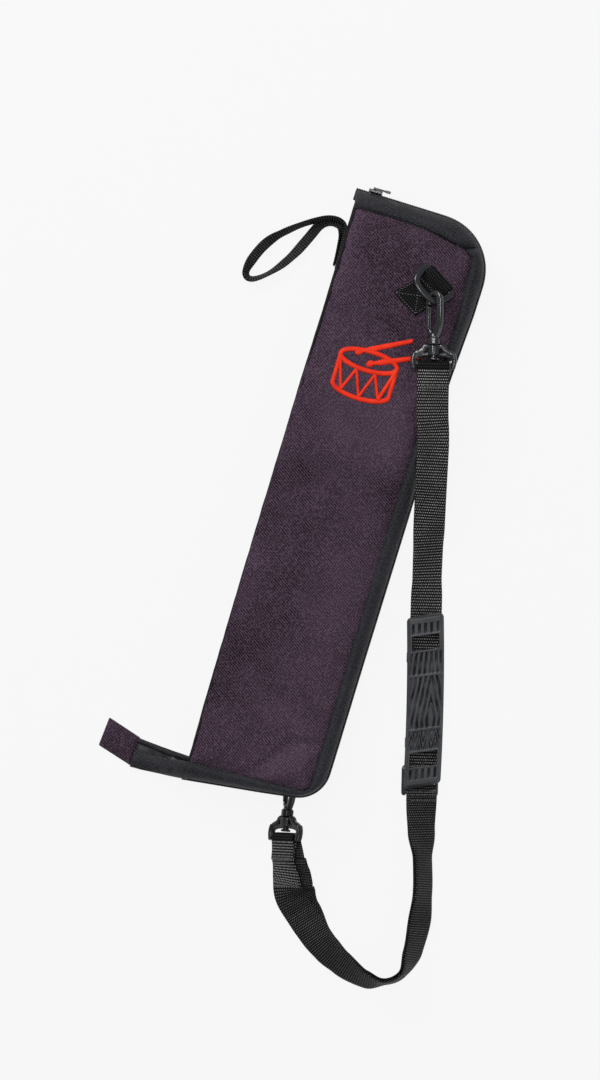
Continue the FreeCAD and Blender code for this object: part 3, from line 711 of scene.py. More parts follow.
# Soft folds in the front panel: from, to, width, height.
FOLDS = [
    ((46, 2), (74, 40), 4.2, -3.6),
    ((70, 38), (99, 48), 4.2, -3.2),
    ((60, 2), (94, 32), 8, 3.0),
    ((20, 60), (64, 96), 12, 0.7),
    ((30, 150), (90, 176), 14, -0.6),
    ((8, 250), (60, 262), 12, 0.6),
    ((60, 268), (100, 240), 10, -0.8),
    ((86, 300), (101, 330), 8, 0.7),
    ((62, 456), (92, 430), 4.5, -2.4),
    ((78, 458), (101, 432), 4.5, -2.2),
    ((88, 456), (103, 440), 3.6, 2.2),
    ((70, 460), (90, 440), 3.6, 1.7),
    ((10, 440), (36, 456), 7, -0.6),
    ((30, 390), (52, 446), 10, 0.5),
]
SEAM_DROP, SEAM_REACH = 3.4, 8.0


def drop_to_seam(distance):
    share = 1 - min(distance / SEAM_REACH, 1)
    return SEAM_DROP * share**2.4


def front_surface(x, y, distance=SEAM_REACH):
    """Height of the front panel's skin: flat in the middle, rolled down into its seam."""
    z = front_z(x, y) + 0.1 - drop_to_seam(distance)
    still = 1 if y > 372 and x > 44 else 0
    free = smooth(distance / 10) * (0.35 if still else 1)
    z += free * sum(ridge(x, y, *fold) for fold in FOLDS)
    z += free * (wobble(x, y, 3, 46, 0.9) + wobble(x, y, 9, 17, 0.28))
    pucker = math.sin(y / 5.2 + wobble(x, y, 5, 20, 5)) * 0.22
    z += pucker * smooth(1 - distance / 12) * smooth(distance / 2)
    return z


def back_surface(x, y, distance):
    return back_z(x, y) + 0.35 + 0.75 * drop_to_seam(distance)


# ---------------- padded panels

COLUMNS, ROWS = 26, 100


def end_spaced(k, count):
    """Shares from 0 to 1, closer together near both ends."""
    t = k / count
    return 0.5 * t + 0.5 * smooth(t)


PUFF_PRESSURE, PUFF_FRAMES = 3.0, 16
PUFF_CAP_FRONT, PUFF_CAP_BACK = 1.1 * MM, 0.3 * MM


def puff(points, side):
    """Lets cloth pinned round its border blow up a little, and returns the moved points."""
    data = bpy.data.meshes.new("puff")
    data.from_pydata([tuple(p) for p in points], [], grid_faces(ROWS, COLUMNS))
    cloth = bpy.data.objects.new("puff", data)
    scene.collection.objects.link(cloth)
    pins = cloth.vertex_groups.new(name="pins")
    border = [k for k in range(ROWS * COLUMNS) if k // COLUMNS in (0, ROWS - 1) or k % COLUMNS in (0, COLUMNS - 1)]
    pins.add(border, 1.0, "REPLACE")
    made = cloth.modifiers.new("cloth", "CLOTH")
    for key, value in {
        "quality": 6, "mass": 0.15, "tension_stiffness": 12, "compression_stiffness": 4, "shear_stiffness": 4,
        "bending_stiffness": 0.4, "vertex_group_mass": "pins", "use_pressure": True,
        "uniform_pressure_force": PUFF_PRESSURE * side, "shrink_min": -0.012,
    }.items():
        setattr(made.settings, key, value)
    made.settings.effector_weights.gravity = 0
    made.collision_settings.use_collision = False
    made.point_cache.frame_end = PUFF_FRAMES
    for number in range(1, PUFF_FRAMES + 1):
        scene.frame_set(number)
    shaped = cloth.evaluated_get(bpy.context.evaluated_depsgraph_get()).data
    cap = PUFF_CAP_FRONT if side > 0 else PUFF_CAP_BACK
    moved = []
    for before, vertex in zip(points, shaped.vertices):
        shift = vertex.co - before
        if shift.length > cap:
            shift = shift.normalized() * cap
        moved.append(before + shift)
    bpy.data.objects.remove(cloth)
    bpy.data.meshes.remove(data)
    scene.frame_set(1)
    return moved


def panel_piece(name, surface, side, thickness, material, inset=0.0, padded=True, levels=1):
    """A panel: its skin on the given surface, its inner face thickness below it."""
    grid = []
    for r in range(ROWS):
        for c in range(COLUMNS):
            x, y, distance = panel_point(end_spaced(c, COLUMNS - 1), end_spaced(r, ROWS - 1))
            if inset:
                middle = Vector((50, min(max(y, 60), 400)))
                pull = (Vector((x, y)) - middle).normalized() * inset
                x, y = x - pull.x, y - pull.y
            grid.append((x, y, surface(x, y, distance), distance))
    skin = [at(x, y, z) for x, y, z, _ in grid]
    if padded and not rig.quick():
        skin = puff(skin, side)
    points = list(skin)
    for (_, _, _, distance), p in zip(grid, skin):
        inner = thickness * (0.35 + 0.65 * smooth(distance / 5))
        points.append(p - UP * (side * inner * MM))
    return subdivide(mesh_piece(name, points, sheet_faces(ROWS, COLUMNS), material), levels)


front_panel = panel_piece("front_panel", front_surface, 1, 3.1, PANEL, levels=2)
finish_piece(front_panel, "front_cover", "panel_fabric", ["front_shell", "front_foam"])
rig.padded(front_panel, fill=0.3)
back_panel = panel_piece("back_panel", back_surface, -1, 2.9, PANEL)
finish_piece(back_panel, "back_half", "panel_fabric", ["back_shell", "back_foam"])
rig.padded(back_panel, fill=0.3)


def front_lining_surface(x, y, distance):
    return front_z(x, y) - 3.7 + wobble(x, y, 30, 22, 0.35) * smooth(distance / 6)


def back_lining_surface(x, y, distance):
    return back_z(x, y) + 3.75 + wobble(x, y, 60, 22, 0.3) * smooth(distance / 6)


for half, side, surface, body in (
    ("front", -1, front_lining_surface, "front_cover"), ("back", 1, back_lining_surface, "back_half")
):
    lining = panel_piece(f"{half}_lining_cloth", surface, side, -0.5, LINING, 2.5, False)
    finish_piece(lining, body, "lining", [f"{half}_lining"])

# ---------------- gusset bands

BAND_PROFILE = [
    (-0.04, 0.80), (0.02, 0.885), (0.09, 0.965), (0.2, 1.0), (0.34, 0.985), (0.5, 0.92),
    (0.65, 0.8), (0.79, 0.62), (0.9, 0.42), (0.97, 0.24), (1.0, 0.1),
]
BAND_PLY = 1.1


def face_height(side, x, y):
    return front_z(x, y) if side > 0 else back_z(x, y)


PLEAT_FROM, PLEAT_TO = Vector((90.5, 451.9, 0)), Vector((101.5, 456.6, 0))


def pleat_height(x, y):
    """The tuck where the band turns the upper corner: a sharp valley with a raised facet below it."""
    along = PLEAT_TO - PLEAT_FROM
    across = Vector((along.y, -along.x, 0)).normalized()
    away = (Vector((x, y, 0)) - PLEAT_FROM).dot(across)
    t = (Vector((x, y, 0)) - PLEAT_FROM).dot(along) / along.length_squared
    reach = smooth((t + 0.35) / 0.35) * smooth((1.25 - t) / 0.7)
    return reach * (2.2 * math.exp(-(((away - 4.2) / 2.8) ** 2)) - 5.5 * math.exp(-((away / 1.7) ** 2)))


def band_outer(side, i):
    """Points across the band at a station, from under the panel's edge to beside the zip."""
    s, r = seam_line[i], rim_line[i]
    top = face_height(side, s.x, s.y) - side * 0.9
    low = zip_z(r.x, r.y) + side * 1.9
    if side < 0:
        top = max(top, 0.5)
    row = []
    crimp = math.sin(i * 1.9) * 0.16 + wobble(s.x, s.y, 20 * side, 7, 0.75)
    crimp += wobble(s.x, s.y, 40 * side, 26, 0.7)
    for share, height in BAND_PROFILE:
        p = s + (r - s) * min(share, 0.985)
        z = mix(low, top, height)
        swell = math.sin(math.pi * min(max(share, 0), 1))
        z += side * crimp * swell
        if side > 0:
            z += pleat_height(p.x, p.y)
        row.append(Vector((p.x, p.y, max(z, 0.35))))
    return row


def band_rings(side):
    rings = []
    for i in range(len(seam_line)):
        outer = band_outer(side, i)
        inward = (seam_line[i] - rim_line[i]).normalized()
        inner = [p + inward * BAND_PLY * 0.8 - UP * side * BAND_PLY * 0.75 for p in outer]
        inner[-1] = outer[-1] + inward * BAND_PLY
        rings.append([at(*p) for p in outer] + [at(*p) for p in reversed(inner)])
    return rings


def band_piece(name, side, body, node):
    piece = tube(name, band_rings(side), BAND)
    subdivide(piece, 1)
    return finish_piece(piece, body, "band_fabric", [node])


gusset_front = band_piece("gusset_front", 1, "front_cover", "front_band")
band_piece("gusset_back", -1, "back_half", "back_band")


def seam_cord(name, side, body):
    """The turned edge of the panel's cloth that is caught in the seam with the band."""
    rings = []
    for i in range(len(seam_line)):
        s = seam_line[i]
        outward = (rim_line[i] - s).normalized()
        z = face_height(side, s.x, s.y) - side * 3.6
        centre = s + outward * 0.1 + UP * (max(z, 1.4) if side < 0 else z)
        ring = []
        for k in range(8):
            turn = 2 * math.pi * k / 8
            ring.append(at(*(centre + outward * (0.9 * math.cos(turn)) + UP * (0.9 * math.sin(turn)))))
        rings.append(ring)
    return finish_piece(tube(name, rings, BAND), body, "band_fabric")


def painted_corner_shadow_piece():
    """A dark strip of painted shadow along the band's lower edge, where the band is tucked under at the upper corner.
    """
    path = [
        (60, 459.4), (70, 457.8), (80, 455.6), (87, 453.6), (91.5, 452.7), (96, 454.0), (100, 455.8), (103, 457.2)
    ]
    bpy.context.view_layer.update()
    spots = []
    for x, y in path:
        hit, place, _, _ = gusset_front.ray_cast(at(x, y, 90), Vector((0, 0, -1)))
        spots.append(Vector((x, y, (place.z / MM if hit else front_z(x, y)) + 0.1)))
    widths = [0.25, 0.5, 0.8, 1.1, 1.35, 1.5, 1.2, 0.4]
    tuck = sweep(
        "corner_painted_shadow", spots, round_section(1.7, 1.1, 0.45), Matrix.Identity(4),
        scales=[(w, min(1.0, w)) for w in widths], material=VELVET,
    )
    return finish_piece(tuck, "front_cover", "band_fabric")


seam_cord("seam_roll_front", 1, "front_cover")
seam_cord("seam_roll_back", -1, "back_half")

# ---------------- zip

TOOTH_PITCH = 1.9


def resampled(points, pitch, start=0.0):
    """Points and unit directions every pitch along a polyline."""
    found, travelled, want = [], 0.0, start
    for a, b in zip(points, points[1:]):
        run = (b - a).length
        while want <= travelled + run:
            found.append((a + (b - a) * ((want - travelled) / run), (b - a).normalized()))
            want += pitch
        travelled += run
    return found


BOX_FACES = [(0, 1, 3, 2), (4, 6, 7, 5), (0, 4, 5, 1), (2, 3, 7, 6), (0, 2, 6, 4), (1, 5, 7, 3)]


def tooth_points(centre, along, outward):
    """A coil turn: a rounded bar with a fatter head towards the other row."""
    points = []
    for reach, width, height in ((-1.5, 0.42, 0.55), (-0.3, 0.5, 0.75), (0.75, 0.62, 0.85), (1.15, 0.4, 0.5)):
        middle = centre + outward * reach
        for sa, sb in ((-1, -1), (1, -1), (1, 1), (-1, 1)):
            points.append(at(*(middle + along * (sa * width) + UP * (sb * height))))
    return points


TOOTH_FACES = ring_faces(4, 4)


def teeth_piece(name, spots, body, replaces):
    """Zip teeth at (centre, along, outward) spots."""
    points, faces = merged((tooth_points(*spot), TOOTH_FACES) for spot in spots)
    return finish_piece(bevel(mesh_piece(name, points, faces, TEETH), 0.16 * MM, 1), body, "zip_teeth", replaces)


def rim_teeth(name, side, start, body, node):
    spots = []
    for place, along in resampled(rim_line, TOOTH_PITCH, start):
        outward = along.cross(UP)
        if outward.length < 0.5:
            continue
        z = zip_z(place.x, place.y) + side * 1.02
        spots.append((Vector((place.x, place.y, z)) + outward * 0.3, along, outward))
    teeth_piece(name, spots, body, [node])


rim_teeth("zip_row_front", 1, 0.6, "front_cover", "front_zip_teeth")
rim_teeth("zip_row_back", -1, 0.6 + TOOTH_PITCH / 2, "back_half", "back_zip_teeth")


def tape_piece(name, side, body, node):
    """The zip tape from inside the band out to the teeth."""
    rings = []
    for i in range(3, len(rim_line)):
        ahead = rim_line[min(i + 1, len(rim_line) - 1)] - rim_line[i - 1]
        outward = ahead.normalized().cross(UP)
        r = rim_line[i]
        z = zip_z(r.x, r.y) + side * 1.75
        row = [(8.2, 0.6), (4.5, 0.25), (1.4, 0.1), (0.6, 0.0)]
        outer = [r - outward * d + UP * (z + side * (0.35 + h)) for d, h in row]
        inner = [r - outward * d + UP * (z + side * (h - 0.25)) for d, h in reversed(row)]
        rings.append([at(*p) for p in outer + inner])
    return finish_piece(tube(name, rings, TAPE), body, "band_fabric", [node])


tape_piece("zip_tape_front_cloth", 1, "front_cover", "front_zip_tape")
tape_piece("zip_tape_back_cloth", -1, "back_half", "back_zip_tape")

# ---------------- spine

SPINE_OUT = [(-12, -2.4), (2, -1.8), (60, -2.5), (150, -2.7), (300, -2.0), (400, -0.9), (474, -0.7)]
SPINE_LOW, SPINE_HIGH, SPINE_STATIONS = -10, 473, 150


def spine_rings():
    rings = []
    for k in range(SPINE_STATIONS):
        y = mix(SPINE_LOW, SPINE_HIGH, k / (SPINE_STATIONS - 1))
        out = steps(y, SPINE_OUT)
        edge = steps(y, PANEL_LEFT)
        tall = 14.6 - 8 * smooth((y - 461) / 12) - 7 * smooth((1 - y) / 11)
        outer, inner = [], []
        for n in range(13):
            turn = math.pi * (n / 12 - 0.5)
            bulge = math.cos(turn) ** 0.7
            z = MIDDLE + math.sin(turn) * tall
            x = mix(max(edge, -0.6) + 1.6, out, bulge) + wobble(0, y, z, 9, 0.35)
            outer.append(at(x, y, z))
            inner.append(at(x + 1.3, y, MIDDLE + math.sin(turn) * (tall - 1.2)))
        rings.append(outer + list(reversed(inner)))
    return rings


# The spine takes the cloth with painted shade.
spine = subdivide(tube("spine_fold", spine_rings(), SPINE_PAINTED_SHADE_CLOTH), 1)
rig.slot(spine, "band_fabric")
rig.replaces(spine, "spine_back", "spine_front")
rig.blend(spine, "back_half", "front_cover", start=at(-4.4, 230, 9), end=at(-4.4, 230, 25))

# ---------------- webbing along routes


def route_points(points):
    """Points in metres of the NURBS line that has the route's points as control points."""
    curve = bpy.data.curves.new("route", "CURVE")
    curve.dimensions = "3D"
    curve.resolution_u = 24
    spline = curve.splines.new("NURBS")
    spline.points.add(len(points) - 1)
    for target, p in zip(spline.points, points):
        target.co = (*at(*p), 1)
    spline.order_u = 3
    spline.use_endpoint_u = True
    holder = bpy.data.objects.new("route", curve)
    scene.collection.objects.link(holder)
    line = bpy.data.meshes.new_from_object(holder)
    found = [v.co.copy() for v in line.vertices]
    bpy.data.meshes.remove(line)
    bpy.data.objects.remove(holder)
    bpy.data.curves.remove(curve)
    return found


def line_length(points):
    return sum((b - a).length for a, b in zip(points, points[1:]))


def stations(points, start, end, count):
    """Places, tangents and distances in millimetres at equal steps between two shares of a line."""
    total = line_length(points)
    marks = [total * mix(start, end, k / count) for k in range(count + 1)]
    found, travelled = [], 0.0
    for a, b in zip(points, points[1:]):
        run = (b - a).length
        while len(found) <= count and marks[len(found)] <= travelled + run + 1e-9:
            t = (marks[len(found)] - travelled) / run if run else 0
            found.append(a + (b - a) * t)
        travelled += run
    while len(found) < count + 1:
        found.append(points[-1].copy())
    tangents = [(found[min(k + 1, count)] - found[max(k - 1, 0)]).normalized() for k in range(count + 1)]
    return found, tangents, [m / MM for m in marks]


WEB_COLUMNS = 13
RIB = 2.3


def web_section(width, ply, mark, rib, rib_height):
    """One row of ribbed webbing in millimetres: offsets across and off its middle, and UVs."""
    height = rib_height * math.cos(2 * math.pi * mark / rib)
    upper, lower = [], []
    for c in range(WEB_COLUMNS):
        side = 2 * c / (WEB_COLUMNS - 1) - 1
        thick = (ply / 2 + height * (1 - abs(side) ** 6)) * (1 - 0.45 * abs(side) ** 10)
        upper.append((side * width / 2, thick, (side * width / 2, mark)))
        lower.append((side * width / 2, -thick, (side * width / 2 + 0.6, mark)))
    return upper + lower[::-1]


def web_mesh(name, rings, uvs, material):
    points = [p for ring in rings for p in ring]
    return mesh_piece(name, points, ring_faces(len(rings), 2 * WEB_COLUMNS), material, uvs)


GROUND_GAP = 0.4


def strap_place(line, place, along, share, rolls, width, ply, drops, stack, shifts):
    """Middle, across and normal of flat webbing on a line, held clear of the ground."""
    right = along.cross(UP).normalized()
    top = right.cross(along)
    roll = math.radians(steps(share, rolls))
    across = right * math.cos(roll) + top * math.sin(roll)
    normal = top * math.cos(roll) - right * math.sin(roll)
    middle = place.copy()
    below = (abs(math.sin(roll)) * width / 2 + math.cos(roll) * (stack + ply / 2) + GROUND_GAP) * MM
    middle.z = max(middle.z, below)
    middle += across * (steps(share, shifts) * MM) - normal * (steps(share, drops) * MM)
    return middle, across, normal


NO_SHIFT = [(0, 0), (1, 0)]


def webbing_piece(name, line, rolls, width, ply, drops, stack, span, material, rib, rib_height, shifts=NO_SHIFT):
    """Flat webbing with real ribs along part of a line. rolls turn its right-hand edge up."""
    start, end = span
    total = line_length(line)
    count = max(8, round(total * (end - start) / MM / rib * 4))
    rings, uvs = [], []
    for place, along, mark in zip(*stations(line, start, end, count)):
        share = mark * MM / total
        middle, across, normal = strap_place(line, place, along, share, rolls, width, ply, drops, stack, shifts)
        section = web_section(width, ply, mark, rib, rib_height)
        rings.append([middle + across * (a * MM) + normal * (b * MM) for a, b, _ in section])
        uvs += [uv for _, _, uv in section]
    return web_mesh(name, rings, uvs, material)


def axes_at(origin, along, upward):
    """Matrix in millimetres whose X runs along and whose Z is as near upward as that allows."""
    x = Vector(along).normalized()
    y = Vector(upward).cross(x).normalized()
    turn = Matrix((x, y, x.cross(y))).transposed().to_4x4()
    return Matrix.Translation(Vector(origin)) @ turn


def rolled(matrix, degrees):
    """The matrix turned about its own X axis."""
    return matrix @ Matrix.Rotation(math.radians(degrees), 4, "X")


UPPER_COLLAR, UPPER_ALONG = (91.3, 371.8, 44), (-0.267, 0.9637, 0)
LOWER_COLLAR, LOWER_ALONG = (86.7, -19.4, 12.6), (-0.182, 0.973, -0.144)
upper_frame, lower_level = axes_at(UPPER_COLLAR, UPPER_ALONG, UP), axes_at(LOWER_COLLAR, LOWER_ALONG, UP)
upper_hook = rolled(upper_frame, -42)
lower_hook, lower_frame = rolled(lower_level, -42), rolled(lower_level, -45)
lower_hook_drawn, lower_frame_drawn = rolled(lower_hook, -20), rolled(lower_level, -48)

WEB, WEB_PLY, FOLD_REACH, PAD_WEB_Z = 25.0, 1.4, 32.0, 3.9
LAYER = WEB_PLY + 1.2
FLUSH = [(0, 0), (1, 0)]
LAYERS = [(0, LAYER), (1, LAYER)]
RETURN_SHIFT = [(0.76, 0), (0.84, 4.0), (0.885, 7.6), (0.92, 9), (0.95, 9.6), (0.98, 11), (1, 12)]
UPPER_ROUTE = [
    tuple(upper_frame @ Vector((-FOLD_REACH - 0.4, 0, 0))),
    (105.3, 320.5, 43),
    (112, 303, 38),
    (119, 274, 33),
    (127, 243, 21),
    (136, 209, 7.5),
    (143, 183, PAD_WEB_Z),
    (165.7, 99, PAD_WEB_Z),
    (182.6, 37.5, PAD_WEB_Z),
]
UPPER_ROLLS = [(0, 0), (0.18, 0), (0.32, -6), (0.42, 18), (0.49, 20), (0.555, 0), (1, 0)]
LOWER_ROUTE = [
    (183, 36, PAD_WEB_Z),
    (190, 9, 3.9),
    (200, -18, 8),
    (210, -50, 13),
    (215, -92, 14),
    (212, -118, 14.2),
    (188, -128.6, 13.8),
    (163.8, -121.3, 9.5),
    (141.8, -109.6, 4),
    (123.4, -94.3, 3.4),
    (104.5, -78, 8),
    (98.5, -61, 16),
    tuple(lower_frame @ Vector((-FOLD_REACH - 1.6, 0, 0))),
]
LOWER_ROLLS = [
    (0, 0), (0.03, 20), (0.12, 36), (0.19, 58), (0.28, 57), (0.35, 48), (0.43, 56), (0.5, 76), (0.545, 78),
    (0.6, 57), (0.68, 40), (0.73, 27), (0.78, 16), (0.82, 5), (0.88, 6), (0.935, 30), (1, 48),
]

upper_line = route_points(UPPER_ROUTE)
lower_line = route_points(LOWER_ROUTE)
upper_total, lower_total = line_length(upper_line), line_length(lower_line)


def share_at(line, distance):
    """Share of a line's length at a distance in millimetres from its start."""
    return distance * MM / line_length(line)


def at_share(line, share):
    return stations(line, 0, share, 60)[0][-1] if share > 0 else line[0]


def strap_layer(name, line, rolls, drops, stack, cuts, material, shifts=NO_SHIFT):
    """One layer of strap in pieces that meet at the cuts, given as shares of its length."""
    pieces = []
    for number, (a, b) in enumerate(zip(cuts, cuts[1:])):
        label = f"{name}_{number + 1}"
        pieces.append(
            webbing_piece(label, line, rolls, WEB, WEB_PLY, drops, stack, (a, b), material, RIB, 0.16, shifts)
        )
        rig.slot(pieces[-1], "webbing")
    return pieces


def coarse_from(piece, mark):
    """Gives the part of a strap beyond a mark, in millimetres, the coarse dotted weave."""
    piece.data.materials.append(WEBBING)
    layer = piece.data.uv_layers[0]
    for face in piece.data.polygons:
        if min(layer.data[k].uv[1] for k in face.loop_indices) >= mark:
            face.material_index = 1


def strap_rows(name, marks):
    """Rows of stitches across the lower strap at marks in millimetres along its line."""
    rows = []
    for mark in marks:
        share = mark / lower_length
        places, tangents, _ = stations(lower_line, share - 0.001, share + 0.001, 2)
        middle, across, normal = strap_place(
            lower_line, places[1], tangents[1], share, LOWER_ROLLS, WEB, WEB_PLY, FLUSH, LAYER, NO_SHIFT
        )
        top = normal * ((WEB_PLY / 2 + 0.2) * MM)
        a, b = (middle + across * (k * (WEB / 2 - 1.2) * MM) + top for k in (-1, 1))
        found, shapes = stitch_line([a / MM, b / MM], normal, 1.5, 0.7, 0.26)
        rows.append(([p * MM for p in found], shapes))
    piece = mesh_piece(name, *merged(rows), STITCH)
    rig.slot(piece, "webbing")
    return piece


FRAME_RUN, RING_RUN = 42.0, 92.0
upper_cuts = [0, share_at(upper_line, FRAME_RUN), share_at(upper_line, RING_RUN), 1]
upper_pieces = strap_layer("strap_upper_web", upper_line, UPPER_ROLLS, FLUSH, 0, upper_cuts, WEBBING)
cut_a, cut_b = (at_share(upper_line, share) for share in upper_cuts[1:3])
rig.blend(upper_pieces[0], "upper_strap_frame", "top_ring_and_hook", start=upper_line[0], end=cut_a)
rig.blend(upper_pieces[1], "top_ring_and_hook", "front_cover", start=cut_a, end=cut_b)
pad_top = at_share(upper_line, share_at(upper_line, 190))
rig.blend(upper_pieces[2], "front_cover", "back_half", start=cut_b, end=pad_top)
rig.replaces(upper_pieces[2], "strap_upper")
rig.cord(
    upper_pieces[2], exit=cut_b, length=upper_total * (1 - upper_cuts[2]), diameter=WEB * MM, far_end="object",
    stiffness="stiff", lay="loose", path=stations(upper_line, upper_cuts[2], 1, 60)[0],
    with_pieces=upper_pieces[:2],
)

HOOK_RUN, SWIVEL_RUN, COARSE_RUN = 112.0, 62.0, 24.0
lower_length = lower_total / MM
lower_cuts = [0, 1 - HOOK_RUN / lower_length, 1 - SWIVEL_RUN / lower_length, 1]
cut_c, cut_d = (at_share(lower_line, share) for share in lower_cuts[1:3])
for layer, drops, node, shifts in (
    ("strap_lower_web", FLUSH, "strap_lower", NO_SHIFT), ("strap_return_web", LAYERS, "strap_return", RETURN_SHIFT)
):
    pieces = strap_layer(layer, lower_line, LOWER_ROLLS, drops, LAYER, lower_cuts, WEBBING_FINE, shifts)
    if node == "strap_lower":
        coarse_from(pieces[2], lower_length - COARSE_RUN)
    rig.ride(pieces[0], "back_half")
    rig.blend(pieces[1], "back_half", "lower_hook", start=cut_c, end=cut_d)
    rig.blend(pieces[2], "lower_hook", "lower_strap_frame", start=cut_d, end=lower_line[-1])
    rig.replaces(pieces[0], node)
    path = stations(lower_line, 0, lower_cuts[1], 80)[0]
    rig.cord(
        pieces[0], exit=lower_line[0], length=line_length(path), diameter=WEB * MM, far_end="object",
        stiffness="stiff", lay="loose", path=path, with_pieces=pieces[1:],
    )

LOOP_ROUTE = [
    (-1.3, 414, 8.0),
    (-1.7, 438, 8.4),
    (-2.4, 447.5, 8.6),
    (-15, 449.4, 8.2),
    (-31, 441, 6.4),
    (-45, 430.5, 5),
    (-58.5, 417.5, 5),
    (-66.5, 400.5, 5),
    (-69.5, 386.5, 5),
    (-62.5, 382.5, 5),
    (-48, 394, 4.8),
    (-36, 411, 4.2),
    (-27, 431, 2.6),
    (-21.5, 444.5, 2.2),
    (-9, 447, 3.2),
    (-2.8, 440, 5.6),
    (-2.6, 413, 7.0),
]
LOOP_ROLLS = [
    (0, 86), (0.08, 82), (0.16, 62), (0.26, 66), (0.33, 55), (0.4, 18), (0.45, 20), (0.5, 52),
    (0.58, 64), (0.66, 40), (0.73, 14), (0.8, 14), (0.86, 40), (0.92, 74), (1, 86),
]
loop_line = route_points(LOOP_ROUTE)
wrist_loop = webbing_piece("wrist_loop_web", loop_line, LOOP_ROLLS, 8.2, 1.4, FLUSH, 0, (0, 1), LOOP_WEB, 1.7, 0.14)
finish_piece(wrist_loop, "back_half", "webbing", ["wrist_loop"])
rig.cord(
    wrist_loop, exit=loop_line[0], length=line_length(loop_line), diameter=0.0082, far_end="object",
    stiffness="medium", lay="loose", path=stations(loop_line, 0, 1, 80)[0],
)

# ---------------- swept and turned shapes


def round_section(width, height, corner=0.45, count=12):
    """A rounded rectangle's points as (a, b), width along a and height along b."""
    points = []
    for k in range(count):
        turn = 2 * math.pi * (k + 0.5) / count
        c, s = math.cos(turn), math.sin(turn)
        power = mix(1.0, 0.35, 1 - corner)
        a, b = math.copysign(abs(c) ** power, c), math.copysign(abs(s) ** power, s)
        points.append((a * width / 2, b * height / 2))
    return points


def eased_path(corners, closed, rounds):
    """A path through corner points with its corners rounded by cutting, in millimetres."""
    points = [Vector(p) for p in corners]
    for _ in range(rounds):
        cut = []
        count = len(points)
        for i in range(count if closed else count - 1):
            a, b = points[i], points[(i + 1) % count]
            cut += [a.lerp(b, 0.25), a.lerp(b, 0.75)]
        if not closed:
            cut = [points[0], *cut[1:-1], points[-1]]
        points = cut
    return points


def sweep(name, path, section, matrix, closed=False, scales=None, material=None):
    """A section carried along a path: a across the path in its plane, b along Z."""
    rings = []
    count = len(path)
    for i, p in enumerate(path):
        if closed:
            along = (path[(i + 1) % count] - path[i - 1]).normalized()
        else:
            along = (path[min(i + 1, count - 1)] - path[max(i - 1, 0)]).normalized()
        side = along.cross(UP).normalized()
        wide, tall = scales[i] if scales else (1, 1)
        rings.append([at(*(matrix @ (p + side * (a * wide) + UP * (b * tall)))) for a, b in section])
    return tube(name, rings, material or PLASTIC, closed)


def lathe(name, profile, matrix, count, material):
    """A shape turned about the local X axis from (x, radius) rows."""
    rings = []
    for x, radius in profile:
        ring = []
        for k in range(count):
            turn = 2 * math.pi * k / count
            ring.append(at(*(matrix @ Vector((x, radius * math.cos(turn), radius * math.sin(turn))))))
        rings.append(ring)
    return tube(name, rings, material)


def block(name, low, high, matrix, material=None):
    corners = [
        matrix @ Vector((x, y, z)) for x in (low[0], high[0]) for y in (low[1], high[1]) for z in (low[2], high[2])
    ]
    return mesh_piece(name, [at(*c) for c in corners], BOX_FACES, material or PLASTIC)


def moulded(obj, voxel=0.32 * MM, rounds=3):
    """Fuses overlapping shapes into one skin with small fillets, as a moulding has."""
    made = obj.modifiers.new("fuse", "REMESH")
    made.mode = "VOXEL"
    made.voxel_size = voxel
    soft = obj.modifiers.new("soften", "SMOOTH")
    soft.factor = 0.5
    soft.iterations = rounds
    return apply_modifiers(obj)


def ribbon(name, path, side, width, ply, material, rib=RIB, rib_height=0.14, matrix=None):
    """Webbing whose width runs along one direction, following a path square to it."""
    matrix = matrix or Matrix.Identity(4)
    side = Vector(side).normalized()
    dense = []
    for a, b in zip(path, path[1:]):
        count = max(1, round((b - a).length / 0.45))
        dense += [a.lerp(b, k / count) for k in range(count)]
    dense.append(path[-1])
    rings, uvs, mark = [], [], 0.0
    for i, p in enumerate(dense):
        if i:
            mark += (p - dense[i - 1]).length
        along = (dense[min(i + 1, len(dense) - 1)] - dense[max(i - 1, 0)]).normalized()
        normal = side.cross(along).normalized()
        section = web_section(width, ply, mark, rib, rib_height)
        rings.append([at(*(matrix @ (p + side * a + normal * b))) for a, b, _ in section])
        uvs += [uv for _, _, uv in section]
    return web_mesh(name, rings, uvs, material)


# The strip of painted shadow at the band's upper corner.
painted_corner_shadow_piece()


STITCH_PROFILE = ((-0.5, 0.5, -0.2), (-0.3, 1, 0.1), (0, 1.1, 0.2), (0.3, 1, 0.1), (0.5, 0.5, -0.2))


def stitch_line(points, normal, length, gap, radius):
    """Thread stitches along a polyline in millimetres: points and faces of small bowed beads."""
    up = Vector(normal).normalized()
    beads = []
    for place, along in resampled([Vector(p) for p in points], length + gap, length / 2):
        side = along.cross(up).normalized()
        bead = []
        for reach, size, rise in STITCH_PROFILE:
            middle = place + along * (reach * length) + up * (0.15 + rise * radius)
            for k in range(6):
                turn = 2 * math.pi * k / 6
                a, b = radius * size * math.cos(turn), radius * size * math.sin(turn)
                bead.append(middle + side * a + up * b)
        beads.append((bead, ring_faces(5, 6)))
    return merged(beads)


def stitches(name, lines, material, body, matrix, length, gap, radius):
    """Stitches along several (points, normal) lines, as one piece."""
    points, faces = merged(stitch_line(line, normal, length, gap, radius) for line, normal in lines)
    piece = mesh_piece(name, [at(*(matrix @ p)) for p in points], faces, material)
    return finish_piece(piece, body, "webbing")


# ---------------- rings and their patches

WIRE = 3.6
RING_HALF, RING_REACH = 15.0, 18.5
PATCH_LENGTH = 31.0
BAR_HEIGHT = 1.2 + WIRE / 2 + 0.3
RING_CORNERS = [
    (0, -RING_HALF, 0), (5, -RING_HALF, 0), (RING_REACH, 3 - RING_HALF, 0),
    (RING_REACH, RING_HALF - 3, 0), (5, RING_HALF, 0), (0, RING_HALF, 0),
]


